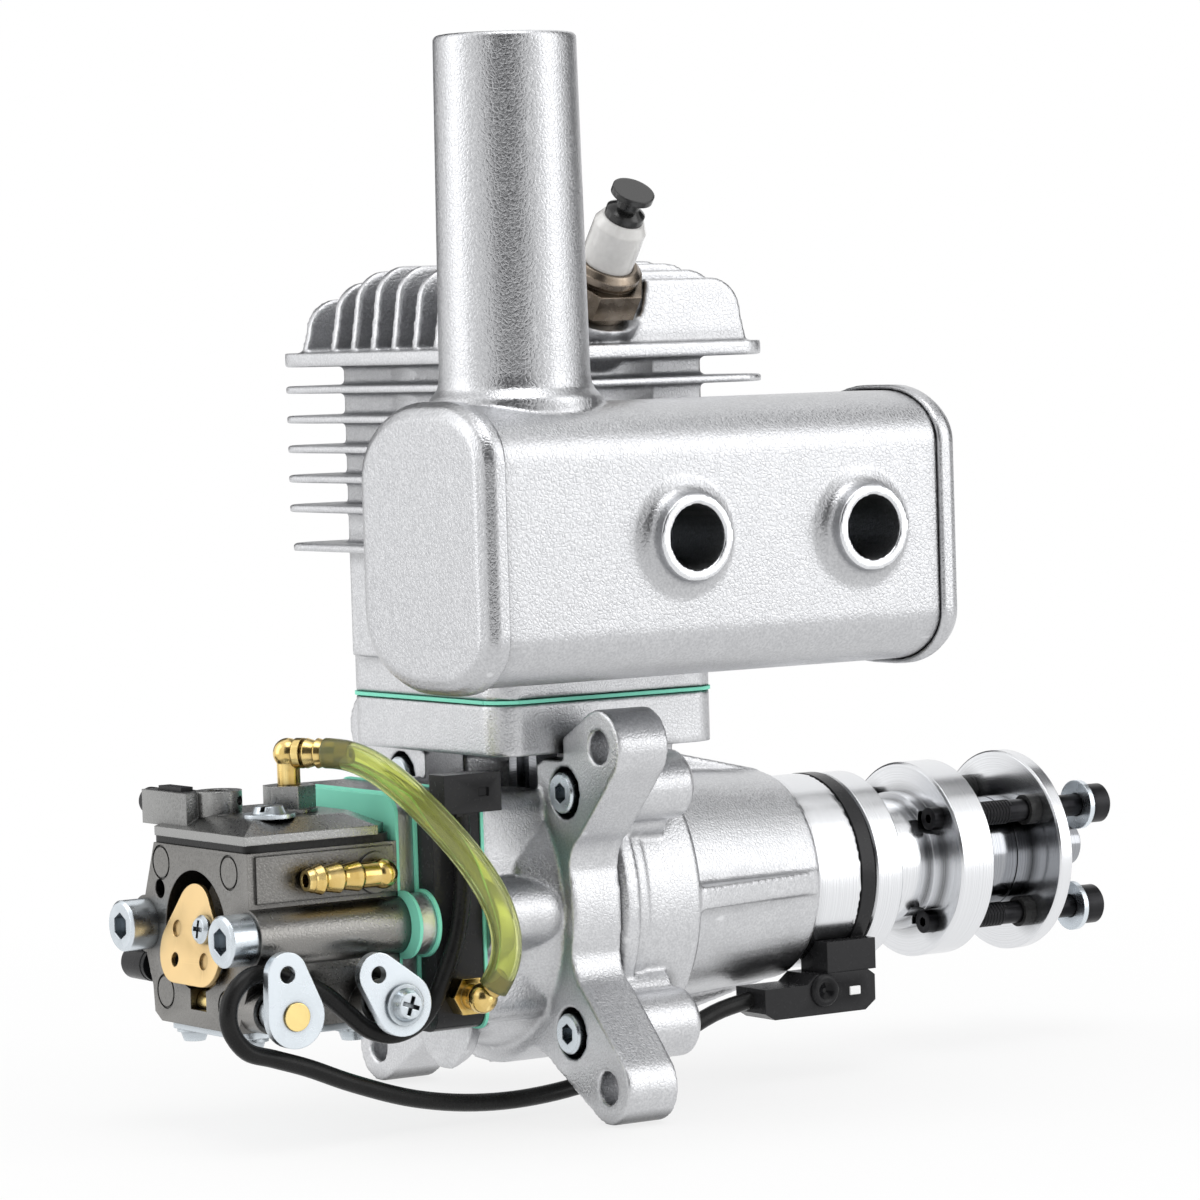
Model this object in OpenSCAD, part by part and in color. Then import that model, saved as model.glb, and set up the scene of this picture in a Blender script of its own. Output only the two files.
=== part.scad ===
// Single-cylinder two-stroke model aircraft engine with can muffler, side stack and rear carburettor.
// Frame: X runs along the crankshaft towards the propeller, Z is up along the cylinder,
// the exhaust side is -Y. The origin is the middle of the four mounting lugs on their rear face.
// All sizes are in millimetres.

/* [Power unit] */
// Cylinder bore diameter
bore_d = 39; // [37:0.5:40]
// Piston stroke
stroke = 29; // [26:1:29]
// Distance from the lug face to the cylinder axis
cyl_x = 10.8; // [10.4:0.2:11.4]
// Height of the cylinder deck above the crank axis
deck_z = 35.1; // [34:0.1:36]
// Side of the square cooling fins
fin_side = 61.6; // [58:0.4:63]
// Distance between two horizontal fins
fin_pitch = 5.05; // [4.8:0.05:5.2]
// Thickness of one horizontal fin
fin_t = 1.3; // [1:0.1:1.8]

/* [Mounting] */
// Half spacing of the mounting lugs across the engine
lug_y = 36; // [35:0.5:38]
// Half spacing of the mounting lugs in height
lug_z = 28; // [27:0.5:29]
// Diameter of the lug holes
lug_hole_d = 5.5; // [5:0.1:6]
// Thickness of the mounting lugs and the rear cover flange
lug_t = 9.8; // [9:0.2:10.2]

/* [Muffler] */
// Length of the muffler over both caps
muffler_len = 92; // [86:1:96]
// Depth of the muffler away from the cylinder
muffler_depth = 38; // [36:1:42]
// Height of the muffler
muffler_h = 45.8; // [42:0.2:48]
// Outer diameter of the outlet stack at the muffler
stack_d = 24; // [22:0.5:25]
// Height of the top of the stack above the crank axis
stack_top_z = 143; // [120:1:150]

/* [Propeller drive] */
// Diameter of the hub flange that drives the propeller
hub_d = 34.8; // [33:0.2:38]
// Diameter of the front propeller washer
washer_d = 36; // [33:0.2:40]
// Space for the propeller between the hub and the washer
prop_gap = 14.3; // [12:0.1:16]
// Radius of the circle of the propeller bolts
bolt_circle_r = 13.2; // [13:0.1:13.8]
// Thread diameter of the propeller bolts
bolt_d = 4; // [3.5:0.1:4]

/* [Carburettor] */
// Diameter of the air intake
intake_d = 20; // [18:0.2:20.4]
// Half spacing of the two mounting screws
carb_screw_y = 16.6; // [16.4:0.1:16.8]
// Angle of the choke flap inside the intake
choke_tilt = 8; // [6:0.5:9]

/* [Lines] */
// Diameter of the sensor cable
cable_d = 3; // [2.6:0.1:3]
// Outer diameter of the pulse hose
hose_d = 5; // [4.6:0.1:5]

/* [Hidden] */
$fn = 48;

// colours of the materials
c_cast = [0.74, 0.75, 0.76];
c_bright = [0.86, 0.87, 0.88];
c_steel = [0.60, 0.62, 0.65];
c_zinc = [0.80, 0.83, 0.87];
c_dark = [0.35, 0.35, 0.37];
c_black = [0.06, 0.06, 0.07];
c_brass = [0.82, 0.65, 0.30];
c_mint = [0.40, 0.80, 0.65];
c_white = [0.95, 0.95, 0.93];

// power unit
bore_r = bore_d / 2;
throw = stroke / 2;
rod_len = 52;
pin_r = 5;
fit = 0.06;
bdc_pin_z = rod_len - throw;
crown_z = bdc_pin_z + 17;
chamber_r = 24.6;
gasket_t = 0.6;
base_z = deck_z + gasket_t;
base_t = 7.3;
top_fin_z = base_z + 56.8;
head_t = 2.4;
head_z = top_fin_z + head_t / 2;
fin_corner = 6;
deck_wall = 2.9;
deck_hx = bore_r + deck_wall;
deck_hy = deck_hx + 1.8;
deck_lobe = 5.2;
base_sx = deck_hx - deck_lobe;
base_sy = deck_hy - deck_lobe;
deck_bottom = deck_z - 8.7;
port_z = base_z + 27.7;
port_y = -fin_side / 2 - 3.4;

// crankcase along X
groove_x = lug_t + 0.9;
drum_x = 27.6;
drum_r = 26;
cover_r = 27.3;
nose_x = 57.2;
nose_r = 18.3;
spigot_x = nose_x + 10;
spigot_r = 17;
ring_step_r = 15.5;
sensor_ring_x = spigot_x + 2.8;
case_screw_y = 25.6;
case_screw_z = 20;
lug_r = 6.2;
arm_fillet = 7;

// crankshaft, hub and propeller parts along X
shaft_r = 7.5;
web_r = chamber_r - 2.3;
rear_brg_x = 24;
rear_brg_t = 9;
rear_brg_r = 16;
front_brg_x = nose_x - 0.2;
front_brg_t = 7;
front_brg_r = 14;
seal_t = 3.2;
web_x = cyl_x + 4.4;
web_end_x = rear_brg_x - 1.6;
hub_x = sensor_ring_x + 0.5;
hub_rear_t = 6;
hub_front_x = hub_x + 18.4;
hub_end_x = hub_front_x + 7.4;
hub_r = hub_d / 2;
boss_end_x = hub_end_x + prop_gap;
washer_t = 3;
stub_r = 4;
collar_r = 4.6;
collar_end_x = boss_end_x + washer_t + 0.4;
stub_x = boss_end_x + washer_t + 13.4;
bolt_r = bolt_d / 2;
bolt_phase = 52.5;
bolt_seat_x = boss_end_x + washer_t + 6.7;

// rear inlet stack along -X from the rear cover
port_face_x = -13.9;
gt = 0.6;
reed_x1 = port_face_x - gt;
reed_t = 9.1;
reed_x0 = reed_x1 - reed_t;
spacer_x1 = reed_x0 - gt;
spacer_x0 = spacer_x1 - 3;
carb_x1 = spacer_x0 - gt;
carb_x0 = carb_x1 - 28.2;
plate_y = 17.3;
plate_z0 = -18;
plate_z1 = 21;
ear_r = 5.6;
ear_y = 18.5;

// carburettor
intake_r = intake_d / 2;
body_y0 = -17.4;
body_y1 = 14;
body_z0 = -15.8;
body_z1 = 13.8;
lower_y0 = -12.6;
boss_y = -18.2;
arm_y = 2;
flap_n = 5.1;
flap_t = 11.4;
flap_thick = 0.8;
shaft_z = -12;
valve_shaft_r = 2.3;
choke_x = carb_x0 + 3.4;
throttle_x = carb_x1 - 4.6;
throttle_cz = -6.5;
throttle_r = 7;
lever_y = -25.8;
lever_t = 1.6;
link_r = 1.4;
gasket_top_t = 1.4;
cover_z = body_z1 + gasket_top_t;
cover_top_z = cover_z + 3.6;
pillar_x = carb_x0 + 6.2;
pillar_y = 2;
pillar_z = cover_top_z + 3.8;
clip_x = carb_x0 + 2.7;
elbow_x = -41;
elbow_y = -6;
elbow_z = 28.5;
elbow_dir = 57;
top_screw_x = carb_x0 + 7.8;
top_screw_y = -11.6;

// spark plug, tilted towards the exhaust side in the middle plane
plug_tilt = 36.9;
plug_y = -23.95;
plug_z = 103.6 - 92.5 + top_fin_z;

// muffler
muf_y1 = port_y - 0.6;
muf_y0 = muf_y1 - muffler_depth;
muf_cx = cyl_x - 8.9;
muf_x0 = muf_cx - muffler_len / 2;
muf_x1 = muf_cx + muffler_len / 2;
muf_cz = port_z - 0.5;
muf_z0 = muf_cz - muffler_h / 2;
muf_z1 = muf_cz + muffler_h / 2;
muf_wall = 1.4;
near_ry = 14;
near_rz = 9.4;
far_ry = 18;
far_rz = 12.4;
cap_rim = 0.9;
cap_t = 4.4;
cap_lip = 1.9;
tube_r = 6.9;
tube_bore_r = 5.1;
tube_end = 2.8;
port_screw_x = 17.2;
pad_x = port_screw_x + 6;
pad_z = 9.5;
stack_r = stack_d / 2;
stack_x = muf_x0 + 19.3;
stack_y = muf_y1 - 17.9;

// sensor
sensor_y = -12;
sensor_z = -19.6;

// head fins: place across the engine and height
top_fin_y = [23.9, 14.3, 7.8, 1.3, -5.2, -11.8, -18.4, -25];
top_fin_h = [9, 11.7, 13.4, 14.1, 14, 13.4, 12.2, 10.7];

// screws of the carburettor's bottom cover
bottom_screw_pts = [
    [carb_x0 + 4.4, lower_y0 + 3.4],
    [carb_x0 + 4.4, body_y1 - 4.6],
    [carb_x1 - 4.6, lower_y0 + 3.4],
    [carb_x1 - 4.6, body_y1 - 4.6]
];

// route of the sensor cable, from the sensor round the carburettor to the connector
cable_pts = [
    [47, -12, -20],
    [38, -12.4, -21.6],
    [25, -13.6, -26.4],
    [12, -14.6, -30],
    [-1, -15.4, -31.4],
    [-14, -16.9, -30.9],
    [-27, -19, -28.6],
    [-39, -20.6, -24.8],
    [-48, -21.2, -21.2],
    [-54.6, -21.6, -19],
    [-59.8, -21.9, -17.2],
    [-62.8, -22, -13.1],
    [-62.3, -21.8, -8.6],
    [-58.9, -21.4, -5.6],
    [-54.6, -20.9, -5.3],
    [-49.6, -20.4, -6.7],
    [-44, -20, -9.6],
    [-39.6, -19.9, -13.2],
    [-35.8, -20.3, -16.3],
    [-31.8, -21, -17.4],
    [-28, -22, -16.1],
    [-25.4, -23.1, -12.9],
    [-23.4, -23.8, -8.4],
    [-21.2, -24, -3],
    [-19.7, -24, 3.4],
    [-19.2, -24, 10.8],
    [-19.4, -24, 18]
];

// route of the pulse hose, from the fitting on the reed block up to the pump elbow
hose_pts = [
    [-17.8, -29.8, -10.3],
    [-16.5, -31.3, -7.2],
    [-16.2, -32.5, -2.6],
    [-18, -32.9, 3.4],
    [-21.4, -31.8, 9.8],
    [-25.6, -29.2, 16.2],
    [-29.6, -25.2, 22],
    [-32.7, -20.2, 26.4],
    [-35.2, -15.2, 28.4],
    [-37.2, -11.8, 28.5]
];

// Helpers
module xcyl(r, x0, x1, y = 0, z = 0) {
    translate([x0, y, z]) rotate([0, 90, 0]) cylinder(r = r, h = x1 - x0);
}

module xcone(r0, r1, x0, x1, y = 0, z = 0) {
    translate([x0, y, z]) rotate([0, 90, 0]) cylinder(r1 = r0, r2 = r1, h = x1 - x0);
}

module ycyl(r, y0, y1, x = 0, z = 0) {
    translate([x, y0, z]) rotate([-90, 0, 0]) cylinder(r = r, h = y1 - y0);
}

module zcyl(r, z0, z1, x = 0, y = 0) {
    translate([x, y, z0]) cylinder(r = r, h = z1 - z0);
}

// box from two corners
module box(a, b) {
    translate(a) cube([b[0] - a[0], b[1] - a[1], b[2] - a[2]]);
}

// a flat outline drawn in Y and Z, running from x0 to x1
module along_x(x0, x1) {
    translate([x0, 0, 0]) rotate([90, 0, 90]) linear_extrude(height = x1 - x0) children();
}

// a flat outline drawn in X and Z, running from y0 to y1
module along_y(y0, y1) {
    translate([0, y1, 0]) rotate([90, 0, 0]) linear_extrude(height = y1 - y0) children();
}

module rounded(x0, x1, y0, y1, r) {
    translate([x0 + r, y0 + r]) offset(r = r) square([x1 - x0 - 2 * r, y1 - y0 - 2 * r]);
}

module hex_socket_x(r, x0, x1, y, z) {
    translate([x0, y, z]) rotate([0, 90, 0]) cylinder(r = r, h = x1 - x0, $fn = 6);
}

module cross_slot(w, l, h) {
    translate([-l / 2, -w / 2, 0]) cube([l, w, h]);
    translate([-w / 2, -l / 2, 0]) cube([w, l, h]);
}

module at_corners(dy, dz) {
    for (sy = [-1, 1]) {
        for (sz = [-1, 1]) {
            translate([0, sy * dy, sz * dz]) children();
        }
    }
}

module at_bolts() {
    for (i = [0:3]) {
        rotate([bolt_phase + 90 * i, 0, 0]) translate([0, bolt_circle_r, 0]) children();
    }
}

// points of an arc that starts at angle a, a quarter circle unless a span is given
function arc(c, r, a, n = 12, span = 90) = [
    for (i = [0:n]) c + r * [cos(a + span * i / n), sin(a + span * i / n)]
];

// points of a quarter ellipse that starts at angle a
function oval(c, rx, ry, a, n = 16) = [
    for (i = [0:n]) c + [rx * cos(a + 90 * i / n), ry * sin(a + 90 * i / n)]
];

// smooth tube through a list of points
function spline(p, i, t) = let (
    n = len(p),
    a = p[max(0, i - 1)],
    b = p[i],
    c = p[min(n - 1, i + 1)],
    d = p[min(n - 1, i + 2)]
) 0.5 * ((2 * b) + (c - a) * t + (2 * a - 5 * b + 4 * c - d) * t * t + (3 * b - a - 3 * c + d) * t * t * t);

function path(p, m) = [
    for (i = [0:len(p) - 2]) for (k = [0:m - 1]) spline(p, i, k / m),
    p[len(p) - 1]
];

function unit(v) = v / norm(v);

function tangents(q) = [
    for (i = [0:len(q) - 1]) unit(q[min(len(q) - 1, i + 1)] - q[max(0, i - 1)])
];

function frames(t, i, u) = i >= len(t) ? [] : let (
    w = unit(u - (u * t[i]) * t[i])
) concat([w], frames(t, i + 1, w));

module tube(p, r, m, sides) {
    q = path(p, m);
    t = tangents(q);
    u = frames(t, 0, [0, 0.3, 1]);
    n = len(q);
    pts = [
        for (i = [0:n - 1]) for (k = [0:sides - 1])
            q[i] + r * (cos(360 * k / sides) * u[i] + sin(360 * k / sides) * cross(t[i], u[i]))
    ];
    side_faces = [
        for (i = [0:n - 2]) for (k = [0:sides - 1])
            [i * sides + k, i * sides + (k + 1) % sides, (i + 1) * sides + (k + 1) % sides,
                (i + 1) * sides + k]
    ];
    first = [for (k = [0:sides - 1]) sides - 1 - k];
    last = [for (k = [0:sides - 1]) (n - 1) * sides + k];
    polyhedron(points = pts, faces = concat(side_faces, [first], [last]));
}

// Crankcase
module deck_outline() {
    translate([-deck_hx, -deck_hy + 4.4]) square([2 * deck_hx, 2 * deck_hy - 8.8]);
    translate([-deck_hx + 4.4, -deck_hy]) square([2 * deck_hx - 8.8, 2 * deck_hy]);
    for (sx = [-1, 1]) {
        for (sy = [-1, 1]) {
            translate([sx * base_sx, sy * base_sy]) circle(r = deck_lobe);
        }
    }
}

module base_holes(r, z0, z1) {
    for (sx = [-1, 1]) {
        for (sy = [-1, 1]) {
            zcyl(r, z0, z1, cyl_x + sx * base_sx, sy * base_sy);
        }
    }
}

module rib(a, w) {
    rotate([a, 0, 0]) translate([0, -w / 2, 0]) rotate([90, 0, 0]) mirror([0, 0, 1])
        linear_extrude(height = w)
        polygon([[drum_x - 2, 14], [drum_x - 2, 25.4], [drum_x + 1, 25.2], [nose_x - 0.6,
            nose_r + 0.4], [nose_x - 0.6, 14]]);
}

module crankcase() {
    color(c_cast) difference() {
        union() {
            translate([cyl_x, 0, deck_bottom]) linear_extrude(height = deck_z - deck_bottom) deck_outline();
            xcyl(cover_r, groove_x, 13.5);
            xcyl(cover_r - 0.9, lug_t, 15.8);
            xcyl(drum_r, 15.8, drum_x - 1.2);
            xcone(drum_r, drum_r - 1.2, drum_x - 1.2, drum_x);
            box([lug_t, -19, 14], [drum_x - 1, 19, deck_bottom + 1]);
            at_corners(case_screw_y, case_screw_z) xcyl(5.8, lug_t, 21.8);
            at_corners(case_screw_y, case_screw_z) xcone(5.8, 4.6, 21.8, 23);
            at_corners(case_screw_y - 5, case_screw_z - 3.9) xcyl(5.6, lug_t, 20.6);
            xcone(20.4, nose_r, drum_x - 1, nose_x);
            xcyl(spigot_r, nose_x - 1, spigot_x);
            xcyl(ring_step_r, spigot_x - 1, sensor_ring_x);
            rib(0, 2.5);
            rib(90, 4);
            rib(180, 2.5);
            rib(270, 4);
        }
        xcyl(chamber_r, lug_t - 1, rear_brg_x - 0.6);
        xcyl(rear_brg_r, rear_brg_x - 1, rear_brg_x + rear_brg_t);
        xcyl(12, rear_brg_x + rear_brg_t - 1, front_brg_x);
        xcyl(front_brg_r, front_brg_x - 1, sensor_ring_x + 1);
        zcyl(bore_r + 1, 8, deck_z + 1, cyl_x);
        base_holes(2.5, deck_z - 7, deck_z + 1);
        at_corners(case_screw_y, case_screw_z) xcyl(2, lug_t - 1, 19);
    }
}

module lug_arm_outline() {
    for (sy = [-1, 1]) {
        for (sz = [-1, 1]) {
            hull() {
                translate([sy * lug_y, sz * lug_z]) circle(r = lug_r, $fn = 40);
                translate([sy * (case_screw_y - 1.2), sz * (case_screw_z - 1)]) circle(r = 8.2, $fn = 40);
            }
        }
    }
}

module rear_cover() {
    color(c_cast) difference() {
        union() {
            along_x(0, lug_t) offset(r = -arm_fillet) offset(r = arm_fillet) {
                lug_arm_outline();
                circle(r = cover_r - 0.1);
            }
            xcyl(cover_r, 0, lug_t - 0.9);
            xcyl(cover_r - 0.9, 0, lug_t);
            xcone(21.5, 25, -6, 0.5);
            along_x(port_face_x, 1) rounded(-plate_y - 2.2, plate_y + 2.2, plate_z0 - 0.2,
                plate_z1 - 0.2, 4);
            for (s = [-1, 1]) xcyl(6.4, port_face_x, 1, s * ear_y, 0);
            xcone(8.5, 7.2, -9, -6, 0, -19.2);
        }
        xcyl(chamber_r, 2.5, lug_t + 1);
        zcyl(bore_r + 1, 8, deck_bottom + 8, cyl_x);
        along_x(port_face_x - 1, 4) translate([-12, -10]) square([24, 22]);
        at_corners(lug_y, lug_z) xcyl(lug_hole_d / 2, -1, lug_t + 1);
        at_corners(case_screw_y, case_screw_z) xcyl(2.2, -1, lug_t + 1);
        at_corners(case_screw_y, case_screw_z) xcyl(4.25, -1, 3.2);
        for (s = [-1, 1]) xcyl(2.5, port_face_x - 1, -4, s * carb_screw_y, 0);
        box([-15, -deck_hy - 1.2, deck_bottom - 0.9], [lug_t + 1, deck_hy + 1.2, 40]);
    }
}

module case_screws() {
    color(c_zinc) at_corners(case_screw_y, case_screw_z) difference() {
        union() {
            xcyl(2, 3.2, 19);
            xcyl(3.4, -0.5, 3.2);
            xcone(3.1, 3.4, -0.9, -0.5);
        }
        hex_socket_x(1.75, -2, 1.6, 0, 0);
    }
}

// Cylinder
module fin_outline(h) {
    rounded(-h, h, -h, h, fin_corner);
}

// one upright cooling fin of the head with rounded upper corners
module top_fin(y, h) {
    hw = fin_side / 2 - 2;
    along_y(y - 0.9, y + 0.9) translate([cyl_x, head_z - 0.4]) polygon(concat(
        [[-hw, 0], [hw, 0]],
        arc([hw - 7.2, h - 5.6], 6, 0),
        arc([-hw + 7.2, h - 5.6], 6, 90)
    ));
}

module plug_axis() {
    translate([cyl_x, plug_y, plug_z]) rotate([plug_tilt, 0, 0]) children();
}

module cylinder_block() {
    color(c_cast) difference() {
        union() {
            zcyl(bore_r + 0.7, deck_z - 5, base_z + 1, cyl_x);
            translate([cyl_x, 0, base_z]) linear_extrude(height = base_t) deck_outline();
            zcyl(bore_r + 4.3, base_z + base_t - 1, head_z, cyl_x);
            for (i = [1:5]) {
                translate([cyl_x, 0, top_fin_z - i * fin_pitch - fin_t / 2]) linear_extrude(height = fin_t)
                    fin_outline(fin_side / 2);
            }
            translate([cyl_x, 0, top_fin_z - 5 * fin_pitch - 6.6 - fin_t / 2]) linear_extrude(height = fin_t)
                fin_outline(fin_side / 2 - 0.3);
            translate([cyl_x, 0, top_fin_z - head_t / 2]) linear_extrude(height = head_t)
                fin_outline(fin_side / 2);
            for (s = [-1, 1]) {
                box([cyl_x - 9 + s * 14.5, -19.6, base_z + base_t - 1], [cyl_x + 9 + s * 14.5, 19.6,
                    top_fin_z]);
            }
            box([cyl_x - pad_x, port_y, port_z - pad_z], [cyl_x + pad_x, -18, port_z + pad_z]);
            box([cyl_x - 12, 12, base_z + base_t - 1], [cyl_x + 12, 27, top_fin_z - 4 * fin_pitch]);
            for (i = [0:7]) top_fin(top_fin_y[i], top_fin_h[i]);
            zcyl(17, head_z - 1, head_z + 3, cyl_x);
            plug_axis() translate([0, 0, -16]) cylinder(r = 8.6, h = 12.5);
        }
        zcyl(bore_r, deck_z - 6, head_z - 10, cyl_x);
        translate([cyl_x, 0, head_z - 10.1]) cylinder(r1 = 15, r2 = 8, h = 5);
        plug_axis() translate([0, 0, -20]) cylinder(r = 5, h = 20);
        plug_axis() translate([0, 0, -3.6]) cylinder(r = 8.4, h = 30);
        base_holes(2.6, base_z - 1, base_z + base_t + 1);
        base_holes(4.9, base_z + base_t, base_z + base_t + 11);
        box([cyl_x - 9, port_y - 1, port_z - 6], [cyl_x + 9, -bore_r + 4, port_z + 5]);
        for (s = [-1, 1]) ycyl(2.5, port_y - 1, -23, cyl_x + s * port_screw_x, port_z);
        box([cyl_x - 6, bore_r - 4, base_z - 8], [cyl_x + 6, bore_r + 4.5, base_z + 20]);
    }
}

module base_gasket() {
    color(c_mint) difference() {
        translate([cyl_x, 0, deck_z]) linear_extrude(height = gasket_t) {
            offset(delta = 0.25) deck_outline();
        }
        zcyl(bore_r + 0.8, deck_z - 1, base_z + 1, cyl_x);
        base_holes(2.6, deck_z - 1, base_z + 1);
        box([cyl_x - 6, bore_r - 2, deck_z - 1], [cyl_x + 6, bore_r + 1.6, base_z + 1]);
    }
}

module base_screws() {
    color(c_zinc) difference() {
        union() {
            base_holes(2.5, deck_z - 7, base_z + base_t + 0.1);
            base_holes(4.1, base_z + base_t, base_z + base_t + 4.6);
            for (sx = [-1, 1]) {
                for (sy = [-1, 1]) {
                    translate([cyl_x + sx * base_sx, sy * base_sy, base_z + base_t + 4.6])
                        cylinder(r1 = 4.1, r2 = 3.7, h = 0.4);
                }
            }
        }
        for (sx = [-1, 1]) {
            for (sy = [-1, 1]) {
                translate([cyl_x + sx * base_sx, sy * base_sy, base_z + base_t + 2])
                    cylinder(r = 2.3, h = 4, $fn = 6);
            }
        }
    }
}

// Spark plug
module plug_shell() {
    color(c_steel) plug_axis() difference() {
        union() {
            translate([0, 0, -14]) cylinder(r = 4.9, h = 10.6);
            translate([0, 0, -3.6]) cylinder(r = 6.6, h = 1.4);
            translate([0, 0, -2.3]) cylinder(r = 8, h = 4.6, $fn = 6);
            translate([0, 0, 2.2]) cylinder(r = 5.9, h = 0.9);
            translate([0, 0, 3]) cylinder(r = 6.2, h = 1.2);
            translate([0, 0, 4.1]) cylinder(r1 = 6.2, r2 = 5.2, h = 1);
        }
        translate([0, 0, -15]) cylinder(r = 3, h = 16);
        translate([0, 0, 0]) cylinder(r = 4.6, h = 8);
    }
}

module plug_insulator() {
    color(c_white) plug_axis() difference() {
        union() {
            translate([0, 0, -12]) cylinder(r1 = 1.8, r2 = 2.9, h = 12.1);
            translate([0, 0, 0]) cylinder(r = 4.5, h = 12);
            translate([0, 0, 12]) cylinder(r1 = 4.5, r2 = 3.6, h = 1.6);
        }
        translate([0, 0, -13]) cylinder(r = 1.1, h = 27);
    }
}

module plug_terminal() {
    color(c_black) plug_axis() union() {
        translate([0, 0, -13.2]) cylinder(r = 1.1, h = 26.9);
        translate([0, 0, 13.6]) cylinder(r = 3.3, h = 1.3);
        translate([0, 0, 14.9]) cylinder(r1 = 3.3, r2 = 2, h = 1);
        translate([0, 0, 15.9]) cylinder(r = 2, h = 1.4);
        translate([0, 0, 17.3]) cylinder(r1 = 2, r2 = 3.6, h = 0.6);
        translate([0, 0, 17.9]) cylinder(r = 3.6, h = 1.1);
    }
}

// Muffler
module muffler_outline(d) {
    polygon(concat(
        oval([muf_y1 - far_ry, muf_z1 - far_rz], far_ry - d, far_rz - d, 0),
        oval([muf_y0 + near_ry, muf_z1 - near_rz], near_ry - d, near_rz - d, 90),
        oval([muf_y0 + near_ry, muf_z0 + near_rz], near_ry - d, near_rz - d, 180),
        oval([muf_y1 - far_ry, muf_z0 + far_rz], far_ry - d, far_rz - d, 270)
    ));
}

module access_bores(r, y0, y1) {
    for (s = [-1, 1]) ycyl(r, y0, y1, cyl_x + s * port_screw_x, port_z);
}

module muffler_body() {
    color(c_cast) difference() {
        union() {
            along_x(muf_x0 + cap_lip, muf_x1 - cap_lip) muffler_outline(cap_rim);
            box([cyl_x - pad_x, muf_y1 - 6, port_z - pad_z], [cyl_x + pad_x, muf_y1, port_z + pad_z]);
        }
        along_x(muf_x0 + cap_lip - 1, muf_x1 - cap_lip + 1) muffler_outline(cap_rim + muf_wall);
        access_bores(tube_r, muf_y0 - tube_end - 1, muf_y1 - 4);
        box([cyl_x - 9, muf_y1 - 8, port_z - 6], [cyl_x + 9, muf_y1 + 1, port_z + 5]);
        access_bores(2.7, muf_y1 - 8, muf_y1 + 1);
        zcyl(stack_r, muf_z1 - 9, muf_z1 + 5, stack_x, stack_y);
    }
}

// pressed end cap with a domed edge, its rim rolled over the end of the can
module muffler_cap() {
    difference() {
        union() {
            hull() {
                along_x(0, 0.05) muffler_outline(2.6);
                along_x(0.75, 0.8) muffler_outline(0.95);
            }
            hull() {
                along_x(0.75, 0.8) muffler_outline(0.95);
                along_x(2.15, 2.2) muffler_outline(0);
            }
            along_x(2.2, cap_t - 0.3) muffler_outline(0);
            along_x(cap_t - 0.3, cap_t) muffler_outline(0.35);
        }
        along_x(cap_lip, cap_t + 1) muffler_outline(cap_rim - 0.01);
    }
}

module muffler_caps() {
    color(c_cast) union() {
        translate([muf_x0, 0, 0]) muffler_cap();
        translate([muf_x1, 0, 0]) mirror([1, 0, 0]) muffler_cap();
    }
}

module access_tubes() {
    color(c_cast) difference() {
        union() {
            access_bores(tube_r, muf_y0 - tube_end, muf_y1 - cap_rim - muf_wall);
            for (s = [-1, 1]) {
                translate([cyl_x + s * port_screw_x, muf_y0 - 0.9, port_z]) rotate([-90, 0, 0])
                    cylinder(r1 = tube_r, r2 = tube_r + 0.9, h = 1.1);
                translate([cyl_x + s * port_screw_x, muf_y0 + 0.2, port_z]) rotate([-90, 0, 0])
                    cylinder(r1 = tube_r + 0.9, r2 = tube_r + 3, h = cap_rim - 0.1);
            }
        }
        access_bores(tube_bore_r, muf_y0 - tube_end - 1, muf_y1 - cap_rim - muf_wall + 1);
    }
}

module stack_pipe() {
    color(c_cast) difference() {
        union() {
            translate([stack_x, stack_y, muf_z1 - 7]) cylinder(r = stack_r - 0.01, h = 8);
            translate([stack_x, stack_y, muf_z1]) cylinder(r1 = stack_r, r2 = stack_r - 0.7,
                h = stack_top_z - 0.6 - muf_z1);
            translate([stack_x, stack_y, stack_top_z - 0.6]) cylinder(r1 = stack_r - 0.7,
                r2 = stack_r - 1.2, h = 0.6);
            difference() {
                translate([stack_x, stack_y, muf_z1 - 5]) cylinder(r = stack_r + 1.7, h = 5);
                along_x(muf_x0, muf_x1) muffler_outline(cap_rim);
            }
            translate([stack_x, stack_y, muf_z1]) cylinder(r1 = stack_r + 1.7, r2 = stack_r + 0.3, h = 1.6);
            translate([stack_x, stack_y, muf_z1 + 1.6]) cylinder(r1 = stack_r + 0.3,
                r2 = stack_r - 0.1, h = 2);
        }
        translate([stack_x, stack_y, muf_z1 - 8]) cylinder(r = stack_r - 2.2, h = stack_top_z - muf_z1 + 9);
    }
}

module exhaust_gasket() {
    color(c_dark) difference() {
        box([cyl_x - pad_x, muf_y1, port_z - pad_z], [cyl_x + pad_x, port_y, port_z + pad_z]);
        box([cyl_x - 9, muf_y1 - 1, port_z - 6], [cyl_x + 9, port_y + 1, port_z + 5]);
        access_bores(2.7, muf_y1 - 1, port_y + 1);
    }
}

module muffler_screws() {
    y_head = muf_y1 - cap_rim - muf_wall;
    color(c_zinc) for (s = [-1, 1]) {
        difference() {
            union() {
                ycyl(2.5, y_head - 0.1, -23, cyl_x + s * port_screw_x, port_z);
                ycyl(4.25, y_head - 5, y_head, cyl_x + s * port_screw_x, port_z);
            }
            translate([cyl_x + s * port_screw_x, y_head - 6, port_z]) rotate([-90, 0, 0])
                cylinder(r = 2.3, h = 3.6, $fn = 6);
        }
    }
}

// Rear inlet stack
module inlet_outline(g) {
    rounded(-plate_y - g, plate_y + g, plate_z0 - g, plate_z1 + g, 3);
    for (s = [-1, 1]) translate([s * ear_y, 0]) circle(r = ear_r + g);
}

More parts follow.
